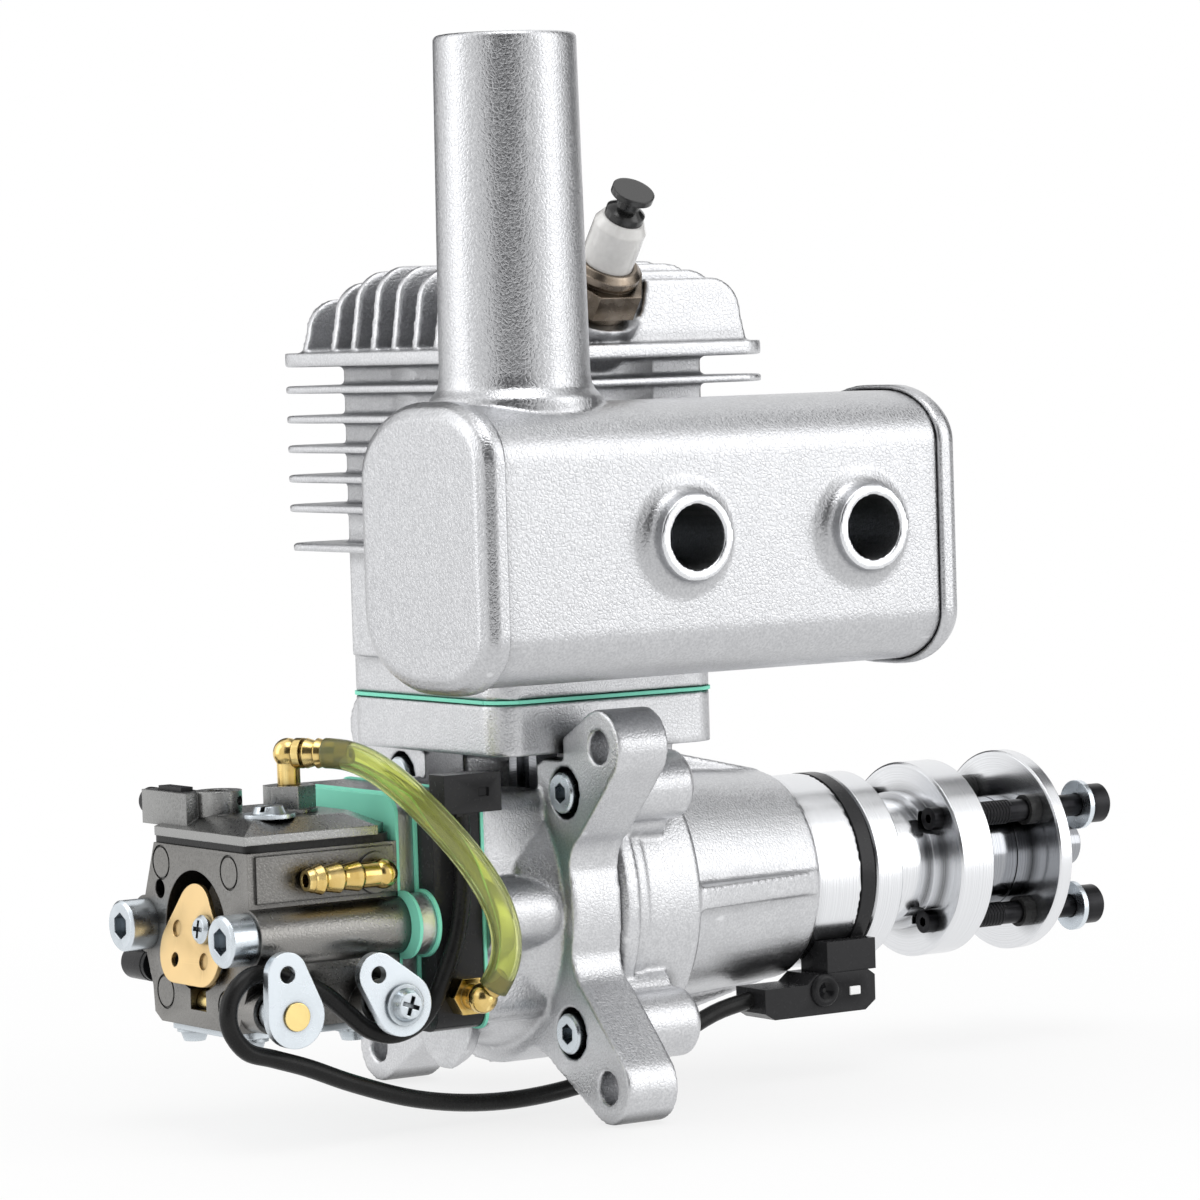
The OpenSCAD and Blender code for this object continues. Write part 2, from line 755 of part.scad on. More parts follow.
module inlet_cuts(x0, x1, r) {
    along_x(x0, x1) translate([-11, -13.6]) square([22, 24]);
    for (s = [-1, 1]) xcyl(r, x0, x1, s * carb_screw_y, 0);
}

module reed_block() {
    color(c_black) difference() {
        union() {
            along_x(reed_x0, reed_x1) rounded(-plate_y - 4.7, plate_y + 4.7, plate_z0, plate_z1, 3);
            along_x(reed_x1 - 0.5, reed_x1 + gt) translate([-11.4, -9.4]) square([22.8, 20.8]);
            translate([0, 10.5, 1]) rotate([90, 0, 0]) linear_extrude(height = 21)
                polygon([[reed_x1, -10], [reed_x1 + 12.4, -1.6], [reed_x1 + 12.4, 1.6], [reed_x1, 10]]);
        }
        along_x(reed_x0 - 1, reed_x0 + 3.6) translate([-11, -13.6]) square([22, 24]);
        translate([0, 9, 1]) rotate([90, 0, 0]) linear_extrude(height = 18)
            polygon([[reed_x0 + 3, -8], [reed_x1, -8], [reed_x1 + 10, -0.9], [reed_x1 + 10, 0.9],
                [reed_x1, 8], [reed_x0 + 3, 8]]);
        for (s = [-1, 1]) {
            for (t = [-1, 1]) {
                translate([reed_x1 + 1.4, t * 4.6, 1]) rotate([0, s * 34, 0]) translate([0, -3.6,
                    s > 0 ? -14 : 0])
                    cube([7.4, 7.2, 14]);
            }
            xcyl(2.7, reed_x0 - 1, reed_x1 + 1, s * carb_screw_y, 0);
        }
        xcyl(1.2, reed_x0 + 3, reed_x1 + 1, -19.4, -12);
    }
}

// two spring leaves lying on the sloping seats of the reed block
module reed_petals() {
    color(c_steel) for (s = [-1, 1]) {
        translate([reed_x1 + 0.9, 0, 1]) mirror([0, 0, s > 0 ? 0 : 1]) rotate([0, 34.1, 0])
            translate([0.2, -9, 8.15]) cube([9.8, 18, 0.3]);
    }
}

// the three paper gaskets between the inlet parts
module inlet_gaskets() {
    color(c_mint) union() {
        difference() {
            along_x(reed_x1, port_face_x) rounded(-plate_y - 5, plate_y + 5, plate_z0 - 0.3,
                plate_z1 + 0.3, 3);
            along_x(reed_x1 - 1, port_face_x + 1) translate([-11.8, -9.8]) square([23.6, 21.6]);
            for (s = [-1, 1]) xcyl(2.7, reed_x1 - 1, port_face_x + 1, s * carb_screw_y, 0);
        }
        for (x = [spacer_x1, carb_x1]) {
            difference() {
                along_x(x, x + gt) inlet_outline(0);
                inlet_cuts(x - 1, x + 2, 2.7);
            }
        }
    }
}

module carb_spacer() {
    color(c_cast) difference() {
        along_x(spacer_x0, spacer_x1) inlet_outline(-0.5);
        inlet_cuts(spacer_x0 - 1, spacer_x1 + 1, 2.7);
    }
}

// Carburettor
module throttle_outline(r, below) {
    circle(r = r);
    translate([-r, -below]) square([2 * r, below]);
}

module carb_body() {
    color(c_dark) difference() {
        union() {
            along_x(carb_x0, carb_x1) polygon([
                [body_y0, body_z1], [body_y0, 5], [-17.4, -6], [lower_y0, body_z0], [12.4, body_z0],
                [14.6, -14.4], [15, -10], [16.8, -5], [16.8, 4.6], [body_y1 - 0.8, body_z1]
            ]);
            box([carb_x0 + 1.4, body_y0 - 0.5, 5.6], [carb_x1 - 0.8, body_y0 + 1, body_z1 - 0.6]);
            for (s = [-1, 1]) xcyl(4.8, carb_x0, carb_x1, s * carb_screw_y, 0);
            box([carb_x0, -carb_screw_y, -3.6], [carb_x1, carb_screw_y, 4]);
            ycyl(3.6, boss_y, lower_y0 + 1, choke_x, shaft_z);
            ycyl(3.6, boss_y, lower_y0 + 1, throttle_x, shaft_z);
            ycyl(3.4, body_y0 - 1, body_y0 + 1, carb_x1 - 4.6, 9);
            ycyl(3.4, body_y1 - 1, body_y1 + 3, choke_x + 0.6, -7.6);
        }
        xcyl(intake_r, carb_x0 - 1, carb_x0 + 7.5);
        xcone(intake_r, 7, carb_x0 + 7.4, carb_x0 + 11, 0, 0);
        along_x(carb_x0 + 9, carb_x0 + 17.1) hull() {
            circle(r = 5, $fn = 32);
            translate([0, -4]) circle(r = 5, $fn = 32);
        }
        along_x(carb_x0 + 17, carb_x1 + 1) translate([0, throttle_cz]) throttle_outline(throttle_r,
            throttle_r);
        ycyl(valve_shaft_r + 0.05, boss_y - 2, body_y1 + 3, choke_x, shaft_z);
        ycyl(valve_shaft_r + 0.05, boss_y - 2, body_y1 + 3, throttle_x, shaft_z);
        box([carb_x0 - 1, -arm_y - 0.6, shaft_z - 1], [choke_x + 2.6, arm_y + 0.6, 0]);
        for (s = [-1, 1]) xcyl(2.7, carb_x0 - 1, carb_x1 + 1, s * carb_screw_y, 0);
        xcyl(1.6, carb_x0 - 1, carb_x0 + 3, 11.6, 6.2);
        ycyl(2.1, body_y0 - 1, body_y0 + 3, carb_x1 - 4.6, 9);
        ycyl(1.6, 9.4, body_y1 + 4, choke_x + 0.6, -7.6);
        for (p = [[11, 10.6], [-11.4, 10.4], [10.8, -10.8], [-9.4, -11.8]]) {
            difference() {
                xcyl(2.9, carb_x0 - 1, carb_x0 + 0.35, p[0], p[1]);
                xcyl(2.5, carb_x0 - 2, carb_x0 + 1, p[0], p[1]);
            }
        }
    }
}

module carb_diaphragm() {
    color(c_black) difference() {
        translate([0, 0, body_z1]) linear_extrude(height = gasket_top_t)
            translate([0, 0]) rounded(carb_x0 + 0.4, carb_x1 - 0.6, body_y0 + 0.2, body_y1 + 0.6, 2);
        zcyl(1.3, body_z1 - 1, cover_z + 1, elbow_x, elbow_y);
    }
}

module cover_outline(g) {
    polygon([
        [carb_x0 - 1 + g, body_y0 - 1 + g],
        [carb_x1 - 4 - g, body_y0 - 1 + g],
        [carb_x1 - 0.6 - g, body_y0 + 3 + g],
        [carb_x1 - 0.6 - g, body_y1 - 3 - g],
        [carb_x1 - 4 - g, body_y1 + 1.2 - g],
        [carb_x0 + 3 + g, body_y1 + 1.2 - g],
        [carb_x0 - 1 + g, body_y1 - 3 - g]
    ]);
}

module carb_top_cover() {
    color(c_dark) difference() {
        union() {
            translate([0, 0, cover_z]) linear_extrude(height = 1.5) cover_outline(0);
            hull() {
                translate([0, 0, cover_z + 1.5]) linear_extrude(height = 0.01) cover_outline(0.2);
                translate([0, 0, cover_top_z - 0.01]) linear_extrude(height = 0.01) cover_outline(4.2);
            }
            zcyl(3.9, cover_top_z - 2, pillar_z, pillar_x, pillar_y);
            box([clip_x - 2.6, pillar_y, cover_z + 1.6], [clip_x + 2.5, body_y1 + 2.9, pillar_z - 0.2]);
            zcyl(2.2, cover_top_z - 1, cover_top_z + 0.8, carb_x1 - 6.2, body_y1 - 5);
        }
        ycyl(0.8, pillar_y - 5, pillar_y + 4, pillar_x + 2.2, pillar_z - 1.7);
        zcyl(1.9, pillar_z - 2.6, pillar_z + 1, pillar_x, pillar_y);
        zcyl(1.3, cover_z - 1, cover_top_z + 1, elbow_x, elbow_y);
        zcyl(1.5, cover_z - 1, cover_top_z + 1, top_screw_x, top_screw_y);
        box([clip_x - 1.3, 6, pillar_z - 1], [clip_x + 1.3, body_y1, pillar_z + 1]);
        ycyl(1.4, body_y1 - 2, body_y1 + 4, clip_x, pillar_z - 2.4);
    }
}

// black adjuster knob and clip on the bracket of the top cover
module cover_knob() {
    color(c_black) union() {
        ycyl(1.4, body_y1 - 2, body_y1 + 3.1, clip_x, pillar_z - 2.4);
        ycyl(2.3, body_y1 + 2.9, body_y1 + 4.6, clip_x, pillar_z - 2.4);
        box([clip_x - 1.1, 6.2, pillar_z - 1], [clip_x + 1.1, body_y1 - 0.2, pillar_z + 0.5]);
    }
}

module carb_bottom_cover() {
    color(c_zinc) difference() {
        union() {
            translate([0, 0, body_z0 - 1.2]) linear_extrude(height = 1.2)
                rounded(carb_x0 + 1.2, carb_x1 - 1.4, lower_y0 + 0.4, body_y1 - 1.4, 2.4);
            translate([(carb_x0 + carb_x1) / 2, 1, body_z0 - 2.4]) cylinder(r1 = 7, r2 = 8.2, h = 1.3);
        }
        for (p = bottom_screw_pts) zcyl(1.4, body_z0 - 3, body_z0 + 1, p[0], p[1]);
    }
}

module cover_screws() {
    color(c_zinc) union() {
        for (p = bottom_screw_pts) {
            difference() {
                union() {
                    zcyl(1.4, body_z0 - 1.3, body_z0, p[0], p[1]);
                    zcyl(2.9, body_z0 - 1.8, body_z0 - 1.2, p[0], p[1]);
                    translate([p[0], p[1], body_z0 - 3.4]) cylinder(r1 = 1.8, r2 = 2.4, h = 1.7);
                }
                translate([p[0], p[1], body_z0 - 3.5]) cross_slot(0.7, 2.8, 1.1);
            }
        }
        difference() {
            union() {
                zcyl(1.5, cover_z, cover_top_z + 0.4, top_screw_x, top_screw_y);
                zcyl(4.3, cover_top_z, cover_top_z + 0.7, top_screw_x, top_screw_y);
                translate([top_screw_x, top_screw_y, cover_top_z + 0.7]) cylinder(r1 = 2.9, r2 = 2.3,
                    h = 1.2);
            }
            translate([top_screw_x, top_screw_y, cover_top_z + 1.1]) rotate([0, 0, 35]) translate([-4,
                -0.4, 0]) cube([8, 0.8, 2]);
        }
    }
}

module carb_mount_screws() {
    color(c_zinc) for (s = [-1, 1]) translate([0, s * carb_screw_y, 0]) difference() {
        union() {
            xcyl(2.5, carb_x0 - 0.1, -4.6);
            xcyl(4.25, carb_x0 - 4.6, carb_x0);
            xcone(3.8, 4.25, carb_x0 - 5, carb_x0 - 4.6);
        }
        hex_socket_x(2.3, carb_x0 - 6, carb_x0 - 2.4, 0, 0);
    }
}

module fuel_barb() {
    bx = carb_x1 - 4.6;
    by = body_y0 - 3;
    color(c_brass) difference() {
        union() {
            ycyl(2.1, by, body_y0 + 2.8, bx, 9);
            translate([bx, by, 9]) sphere(r = 2.5);
            xcyl(2.1, bx - 13.6, bx, by, 9);
            xcone(1.7, 2.5, bx - 14.6, bx - 12, by, 9);
            xcone(2.5, 2.1, bx - 12, bx - 11.4, by, 9);
            xcone(2.1, 2.5, bx - 11, bx - 8.6, by, 9);
            xcone(2.5, 2.1, bx - 8.6, bx - 8, by, 9);
            xcone(2.1, 2.5, bx - 7.4, bx - 5, by, 9);
            xcone(2.5, 2.1, bx - 5, bx - 4.4, by, 9);
        }
        xcyl(1.1, bx - 15, bx, by, 9);
    }
}

// elbow of the pump chamber on the top cover
module pulse_elbow() {
    color(c_brass) translate([elbow_x, elbow_y, 0]) difference() {
        union() {
            zcyl(1.3, cover_z, elbow_z - 2.5);
            zcyl(1.9, cover_top_z + 4.5, elbow_z);
            translate([0, 0, elbow_z]) sphere(r = 2.5);
            translate([0, 0, elbow_z]) rotate([0, 90, -elbow_dir]) {
                cylinder(r = 1.9, h = 11.6);
                translate([0, 0, 1.6]) cylinder(r = 2.5, h = 1.3);
                for (t = [3.6, 5.6, 7.6]) translate([0, 0, t]) cylinder(r1 = 2.5, r2 = 2, h = 1.7);
            }
        }
        zcyl(0.9, cover_z - 1, elbow_z);
        translate([0, 0, elbow_z]) rotate([0, 90, -elbow_dir]) cylinder(r = 0.9, h = 13);
    }
}

module elbow_nut() {
    color(c_dark) difference() {
        union() {
            zcyl(4.6, cover_top_z, cover_top_z + 0.7, elbow_x, elbow_y);
            translate([elbow_x, elbow_y, cover_top_z + 0.6]) rotate([0, 0, 18]) cylinder(r = 4.4,
                h = 3.9, $fn = 6);
        }
        zcyl(1.3, cover_top_z - 1, cover_top_z + 6, elbow_x, elbow_y);
    }
}

// fitting on the near side of the reed block
module pulse_fitting() {
    ry = -plate_y - 4.7;
    color(c_brass) difference() {
        union() {
            translate([-19, ry, -12]) rotate([90, 0, 0]) cylinder(r = 3.4, h = 3.2, $fn = 6);
            ycyl(2.1, ry - 6.6, ry - 3, -19, -12);
            translate([-19, ry - 6.4, -12]) rotate([90, 180, 0]) sphere(r = 2.5);
            translate([-19, ry - 6.4, -12]) rotate([0, 46, -48]) cylinder(r = 1.7, h = 5.4);
        }
        translate([-19, ry + 0.1, -12]) rotate([90, 0, 0]) cylinder(r = 1, h = 6);
    }
}

module pulse_hose() {
    color([0.80, 0.84, 0.35]) tube(hose_pts, hose_d / 2, 3, 10);
}

// Choke and throttle
module valve_shaft(x) {
    ycyl(valve_shaft_r, lever_y - 0.4, body_y1 - 1.5, x, shaft_z);
}

module choke_axis() {
    translate([choke_x, 0, shaft_z]) rotate([0, choke_tilt, 0]) children();
}

module choke_shaft() {
    color(c_brass) difference() {
        valve_shaft(choke_x);
        choke_axis() box([-0.6, -arm_y, -1.4], [0.6, arm_y, 5]);
    }
}

// egg-shaped flap in front of the intake, on an arm that is held in the slot of the shaft
module choke_plate() {
    color(c_brass) choke_axis() difference() {
        union() {
            translate([-flap_n, 0, flap_t]) along_x(-flap_thick, 0) polygon(concat(
                arc([4.4, -3.4], 5.4, -90, 12, 132),
                arc([0, 2.2], 5.6, 42, 10, 96),
                arc([-4.4, -3.4], 5.4, 138, 12, 132)
            ));
            box([-0.6, -arm_y, -1.4], [0.6, arm_y, 4.7]);
            box([-flap_n - 0.1, -arm_y, 3.5], [0.6, arm_y, 4.7]);
        }
        translate([-flap_n - flap_thick, 0, flap_t]) {
            xcyl(1.2, -1, 2, 4.6, -5);
            xcyl(1.4, -1, 0.4, 4.8, 0.1);
            xcyl(1.4, -1, 0.4, -4.8, -4.6);
            xcyl(1.1, -1, 2, -4.5, 0.6);
        }
    }
}

module choke_plate_screw() {
    color(c_zinc) choke_axis() translate([-flap_n - flap_thick, -4.5, flap_t + 0.6]) difference() {
        union() {
            xcyl(1.1, -0.5, flap_thick + 1.2);
            xcyl(2.4, -0.9, 0);
            xcone(1.8, 2.4, -1.5, -0.9);
            xcyl(2, flap_thick, flap_thick + 1);
        }
        translate([-0.8, 0, 0]) rotate([0, -90, 0]) cross_slot(0.7, 2.9, 2);
    }
}

module lever_outline(dx, dz, r0, r1) {
    hull() {
        circle(r = r0, $fn = 40);
        translate([dx, dz]) circle(r = r1, $fn = 40);
    }
}

module choke_lever() {
    color(c_zinc) difference() {
        union() {
            translate([choke_x, 0, shaft_z]) along_y(lever_y, lever_y + lever_t) lever_outline(-1.4,
                6.9, 5.2, 3.6);
            ycyl(2.8, lever_y + lever_t, boss_y - 0.4, choke_x, shaft_z);
        }
        ycyl(valve_shaft_r, lever_y - 1, 0, choke_x, shaft_z);
        ycyl(link_r, lever_y - 1, lever_y + lever_t + 1, choke_x - 1.4, shaft_z + 6.9);
    }
}

module throttle_shaft() {
    color(c_steel) difference() {
        ycyl(valve_shaft_r, lever_y, body_y1 - 1.5, throttle_x, shaft_z);
        box([throttle_x - 0.5, -throttle_r + 0.4, shaft_z - 1.3], [throttle_x + 0.5, throttle_r - 0.4,
            shaft_z + 4]);
        ycyl(1.2, lever_y - 1, lever_y + 4, throttle_x, shaft_z);
    }
}

module throttle_plate() {
    color(c_brass) translate([throttle_x - 0.5, 0, throttle_cz]) rotate([90, 0,
        90]) linear_extrude(height = 1)
        throttle_outline(throttle_r - 0.4, throttle_r - 0.4);
}

module throttle_lever() {
    color(c_zinc) difference() {
        union() {
            translate([throttle_x, 0, shaft_z]) along_y(lever_y, lever_y + lever_t) lever_outline(-4.6,
                5.3, 5.2, 3.6);
            ycyl(2.8, lever_y + lever_t, boss_y - 0.4, throttle_x, shaft_z);
        }
        ycyl(valve_shaft_r, lever_y - 1, 0, throttle_x, shaft_z);
        ycyl(link_r, lever_y - 1, lever_y + lever_t + 1, throttle_x - 4.6, shaft_z + 5.3);
    }
}

module throttle_screw() {
    color(c_zinc) difference() {
        union() {
            ycyl(1.2, lever_y - 0.1, lever_y + 3.8, throttle_x, shaft_z);
            ycyl(3.4, lever_y - 0.6, lever_y, throttle_x, shaft_z);
            translate([throttle_x, lever_y - 0.6, shaft_z]) rotate([90, 0, 0]) cylinder(r1 = 2.8,
                r2 = 2.1, h = 1.6);
        }
        translate([throttle_x, lever_y - 1.2, shaft_z]) rotate([90, 20, 0]) cross_slot(0.7, 3.2, 2);
    }
}

// capped adjusting screw on the far side of the carburettor
module idle_screw() {
    x = choke_x + 0.6;
    color(c_black) union() {
        ycyl(1.6, 9.6, body_y1 + 7, x, -7.6);
        ycyl(2.6, body_y1 + 3, body_y1 + 3.8, x, -7.6);
        ycyl(2.8, body_y1 + 6.5, body_y1 + 7.6, x, -7.6);
        ycyl(2.9, body_y1 + 7.6, body_y1 + 14, x, -7.6);
        translate([x, body_y1 + 14, -7.6]) rotate([-90, 0, 0]) cylinder(r1 = 2.9, r2 = 2.1, h = 0.9);
    }
}

// Sensor
module sensor_ring() {
    color(c_black) difference() {
        union() {
            xcyl(spigot_r + 0.05, spigot_x, sensor_ring_x);
            box([spigot_x - 7.6, sensor_y - 4.4, sensor_z + 3.2], [sensor_ring_x, sensor_y + 3.4, -11]);
        }
        xcyl(ring_step_r, spigot_x - 1, sensor_ring_x + 1);
        xcyl(spigot_r + 0.02, spigot_x - 9, spigot_x);
    }
}

module sensor_body() {
    color(c_black) difference() {
        along_y(sensor_y - 4.6, sensor_y + 4) polygon([
            [46, sensor_z - 2.6],
            [48, sensor_z - 3.8],
            [67.4, sensor_z - 3.8],
            [sensor_ring_x - 0.4, sensor_z - 2.2],
            [sensor_ring_x - 0.4, sensor_z + 2.2],
            [68.2, sensor_z + 3.2],
            [57, sensor_z + 3.2],
            [55, sensor_z + 1.6],
            [46, sensor_z + 1.6]
        ]);
        box([64, sensor_y - 5, sensor_z - 1], [66.4, sensor_y - 4, sensor_z + 0.6]);
    }
}

module sensor_cable() {
    color(c_black) tube(cable_pts, cable_d / 2, 3, 8);
}

module cable_connector() {
    color(c_black) difference() {
        union() {
            box([-24, -26.6, 18.2], [-13, -plate_y - 4.75, 24.6]);
            box([-21, -25.4, 17.6], [-17, -22.4, 18.4]);
        }
        box([-17.4, -27, 20.8], [-15.4, -26.2, 22.2]);
    }
}

// Crank train
module main_bearings() {
    color(c_steel) union() {
        difference() {
            xcyl(rear_brg_r, rear_brg_x, rear_brg_x + rear_brg_t);
            xcyl(shaft_r + fit, rear_brg_x - 1, rear_brg_x + rear_brg_t + 1);
            difference() {
                xcyl(rear_brg_r - 2, rear_brg_x + rear_brg_t - 0.8, rear_brg_x + rear_brg_t + 1);
                xcyl(rear_brg_r - 6, rear_brg_x, rear_brg_x + rear_brg_t + 2);
            }
        }
        difference() {
            xcyl(front_brg_r, front_brg_x, front_brg_x + front_brg_t);
            xcyl(shaft_r + fit, front_brg_x - 1, front_brg_x + front_brg_t + 1);
        }
    }
}

module shaft_seal() {
    seal_x = front_brg_x + front_brg_t + 0.2;
    color(c_black) difference() {
        xcyl(front_brg_r, seal_x, seal_x + seal_t);
        xcyl(shaft_r + fit, seal_x - 1, seal_x + seal_t + 2);
        difference() {
            xcyl(front_brg_r - 1.6, seal_x + seal_t - 1, seal_x + seal_t + 2);
            xcyl(shaft_r + 1.5, seal_x, seal_x + seal_t + 3);
        }
    }
}

module crankshaft() {
    color(c_steel) difference() {
        union() {
            xcyl(web_r, web_x, web_end_x);
            xcone(shaft_r + 3.5, shaft_r + 1.9, web_end_x - 0.1, rear_brg_x - 0.2);
            xcyl(shaft_r, web_end_x, hub_end_x - 2);
        }
        for (a = [-38, 38]) {
            rotate([a, 0, 0]) xcyl(4.6, web_x - 1, web_end_x - 1.6, 0, -15.6);
        }
    }
}

module crankpin() {
    color(c_steel) difference() {
        xcyl(pin_r, cyl_x - 4.6, web_x - 0.3, 0, -throw);
        xcyl(2, cyl_x - 5, web_x - 1.5, 0, -throw);
    }
}

module connecting_rod() {
    color(c_steel) difference() {
        union() {
            xcyl(8.6, cyl_x - 3.6, cyl_x + 3.6, 0, -throw);
            xcyl(7, cyl_x - 3.6, cyl_x + 3.6, 0, bdc_pin_z);
            translate([cyl_x - 2.2, 0, 0]) rotate([90, 0, 90]) linear_extrude(height = 4.4)
                polygon([[-5.2, -throw + 6], [5.2, -throw + 6], [4, bdc_pin_z - 5], [-4, bdc_pin_z - 5]]);
        }
        xcyl(pin_r + 1.8, cyl_x - 5, cyl_x + 5, 0, -throw);
        xcyl(pin_r + 1.2, cyl_x - 5, cyl_x + 5, 0, bdc_pin_z);
        for (s = [-1, 1]) {
            translate([cyl_x - 0.9 + s * 1.8, 0, 0]) rotate([90, 0, 90]) linear_extrude(height = 1.8)
                polygon([[-2.4, -throw + 11], [2.4, -throw + 11], [1.8, bdc_pin_z - 9], [-1.8,
                    bdc_pin_z - 9]]);
        }
    }
}

module rod_bearings() {
    color(c_brass) union() {
        difference() {
            xcyl(pin_r + 1.8, cyl_x - 3.4, cyl_x + 3.4, 0, -throw);
            xcyl(pin_r, cyl_x - 4, cyl_x + 4, 0, -throw);
        }
        difference() {
            xcyl(pin_r + 1.2, cyl_x - 3.4, cyl_x + 3.4, 0, bdc_pin_z);
            xcyl(pin_r, cyl_x - 4, cyl_x + 4, 0, bdc_pin_z);
        }
    }
}

module wrist_pin() {
    color(c_steel) difference() {
        xcyl(pin_r, cyl_x - bore_r + 3.4, cyl_x + bore_r - 3.4, 0, bdc_pin_z);
        xcyl(2.8, cyl_x - bore_r, cyl_x + bore_r, 0, bdc_pin_z);
    }
}

module piston() {
    color(c_bright) difference() {
        zcyl(bore_r - fit, bdc_pin_z - 10, crown_z, cyl_x);
        difference() {
            zcyl(bore_r - 3.2, bdc_pin_z - 11, crown_z - 4.6, cyl_x);
            for (s = [-1, 1]) {
                xcyl(7.8, cyl_x + s * 11.4 - 6.2, cyl_x + s * 11.4 + 6.2, 0, bdc_pin_z);
            }
            box([cyl_x - 20, -5, bdc_pin_z], [cyl_x - 5.2, 5, crown_z]);
            box([cyl_x + 5.2, -5, bdc_pin_z], [cyl_x + 20, 5, crown_z]);
        }
        xcyl(pin_r, cyl_x - 25, cyl_x + 25, 0, bdc_pin_z);
        difference() {
            zcyl(bore_r + 1, crown_z - 3.6, crown_z - 2.3, cyl_x);
            zcyl(bore_r - 2, crown_z - 4, crown_z - 2, cyl_x);
        }
    }
}

module piston_ring() {
    color(c_steel) difference() {
        zcyl(bore_r - 0.03, crown_z - 3.55, crown_z - 2.35, cyl_x);
        zcyl(bore_r - 1.9, crown_z - 4, crown_z - 2, cyl_x);
        box([cyl_x - 0.3, bore_r - 3, crown_z - 4], [cyl_x + 0.3, bore_r + 1, crown_z - 2]);
    }
}

// Propeller drive
module magnet_axis() {
    rotate([238 - 90, 0, 0]) translate([hub_x + 3, 0, 0]) children();
}

module prop_hub() {
    color(c_bright) difference() {
        union() {
            xcone(16.3, 16.8, hub_x, hub_x + 0.5);
            xcyl(16.8, hub_x + 0.5, hub_x + hub_rear_t - 0.4);
            xcone(16.8, 16.4, hub_x + hub_rear_t - 0.4, hub_x + hub_rear_t);
            xcyl(11, hub_x + 1, hub_end_x - 1);
            xcyl(12.3, hub_front_x - 2.4, hub_front_x + 1);
            xcone(hub_r - 0.4, hub_r, hub_front_x, hub_front_x + 0.4);
            xcyl(hub_r, hub_front_x + 0.4, hub_end_x - 0.4);
            xcone(hub_r, hub_r - 0.4, hub_end_x - 0.4, hub_end_x);
        }
        xcyl(shaft_r, hub_x - 1, hub_end_x - 2);
        at_bolts() xcyl(bolt_r, hub_front_x - 1, hub_end_x + 1);
        at_bolts() xcyl(2.7, hub_front_x - 4.4, hub_front_x);
        magnet_axis() translate([0, 0, 12.6]) cylinder(r = 1.5, h = 10);
    }
}

module hub_magnet() {
    color(c_steel) intersection() {
        magnet_axis() translate([0, 0, 12.6]) cylinder(r = 1.5, h = 10);
        xcyl(16.8, hub_x, hub_x + hub_rear_t);
    }
}

module centre_boss() {
    color(c_steel) difference() {
        union() {
            xcyl(10, hub_end_x, boss_end_x);
            xcyl(collar_r, boss_end_x - 1, collar_end_x);
            xcyl(stub_r, collar_end_x - 1, stub_x - 0.5);
            xcone(stub_r, stub_r - 0.5, stub_x - 0.5, stub_x);
        }
        difference() {
            xcyl(11, boss_end_x - 3.6, boss_end_x - 3.3);
            xcyl(9.7, boss_end_x - 5, boss_end_x - 2);
        }
        xcyl(1.6, stub_x - 9, stub_x + 1);
    }
}

module prop_washer() {
    color(c_bright) difference() {
        union() {
            xcone(washer_d / 2 - 0.3, washer_d / 2, boss_end_x, boss_end_x + 0.3);
            xcyl(washer_d / 2, boss_end_x + 0.3, boss_end_x + washer_t - 0.5);
            xcone(washer_d / 2, washer_d / 2 - 0.5, boss_end_x + washer_t - 0.5, boss_end_x + washer_t);
        }
        xcyl(collar_r + 0.03, boss_end_x - 1, boss_end_x + washer_t + 1);
        at_bolts() xcyl(bolt_r + 0.2, boss_end_x - 1, boss_end_x + washer_t + 1);
    }
}

module prop_bolts() {
    color(c_black) at_bolts() difference() {
        union() {
            xcyl(bolt_r, hub_front_x - 2, bolt_seat_x + 1.1);
            xcyl(3.5, bolt_seat_x + 1, bolt_seat_x + 5.2);
            xcone(3.5, 3.1, bolt_seat_x + 5.2, bolt_seat_x + 5.6);
        }
        hex_socket_x(1.75, bolt_seat_x + 3, bolt_seat_x + 7, 0, 0);
        hex_socket_x(0.9, hub_front_x - 3, hub_front_x - 1.2, 0, 0);
    }
}

module prop_bolt_washers() {
    color(c_zinc) at_bolts() difference() {
        xcyl(4.4, bolt_seat_x, bolt_seat_x + 1);
        xcyl(bolt_r + 0.1, bolt_seat_x - 1, bolt_seat_x + 2);
    }
}

// rubber rings that hold the loose washer on the bolts
module bolt_rings() {
    color(c_black) at_bolts() difference() {
        xcyl(2.7, boss_end_x - 2.4, boss_end_x);
        xcyl(bolt_r, boss_end_x - 3, boss_end_x + 1);
    }
}

crankcase();
rear_cover();
case_screws();
cylinder_block();
base_gasket();
base_screws();
plug_shell();
plug_insulator();
plug_terminal();
muffler_body();
muffler_caps();
access_tubes();
stack_pipe();
exhaust_gasket();
muffler_screws();
reed_block();
reed_petals();
inlet_gaskets();
carb_spacer();
carb_body();
carb_diaphragm();
carb_top_cover();
cover_knob();
carb_bottom_cover();
cover_screws();
carb_mount_screws();
fuel_barb();
pulse_elbow();
elbow_nut();
pulse_fitting();
pulse_hose();
choke_shaft();
choke_plate();
choke_plate_screw();
choke_lever();
throttle_shaft();
throttle_plate();
throttle_lever();
throttle_screw();
idle_screw();
sensor_ring();
sensor_body();
sensor_cable();
cable_connector();
main_bearings();
shaft_seal();
crankshaft();
crankpin();
connecting_rod();
rod_bearings();
wrist_pin();
piston();
piston_ring();
prop_hub();
hub_magnet();
centre_boss();
prop_washer();
prop_bolts();
prop_bolt_washers();
bolt_rings();
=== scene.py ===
import math

import bmesh
import bpy
from mathutils import Matrix, Vector


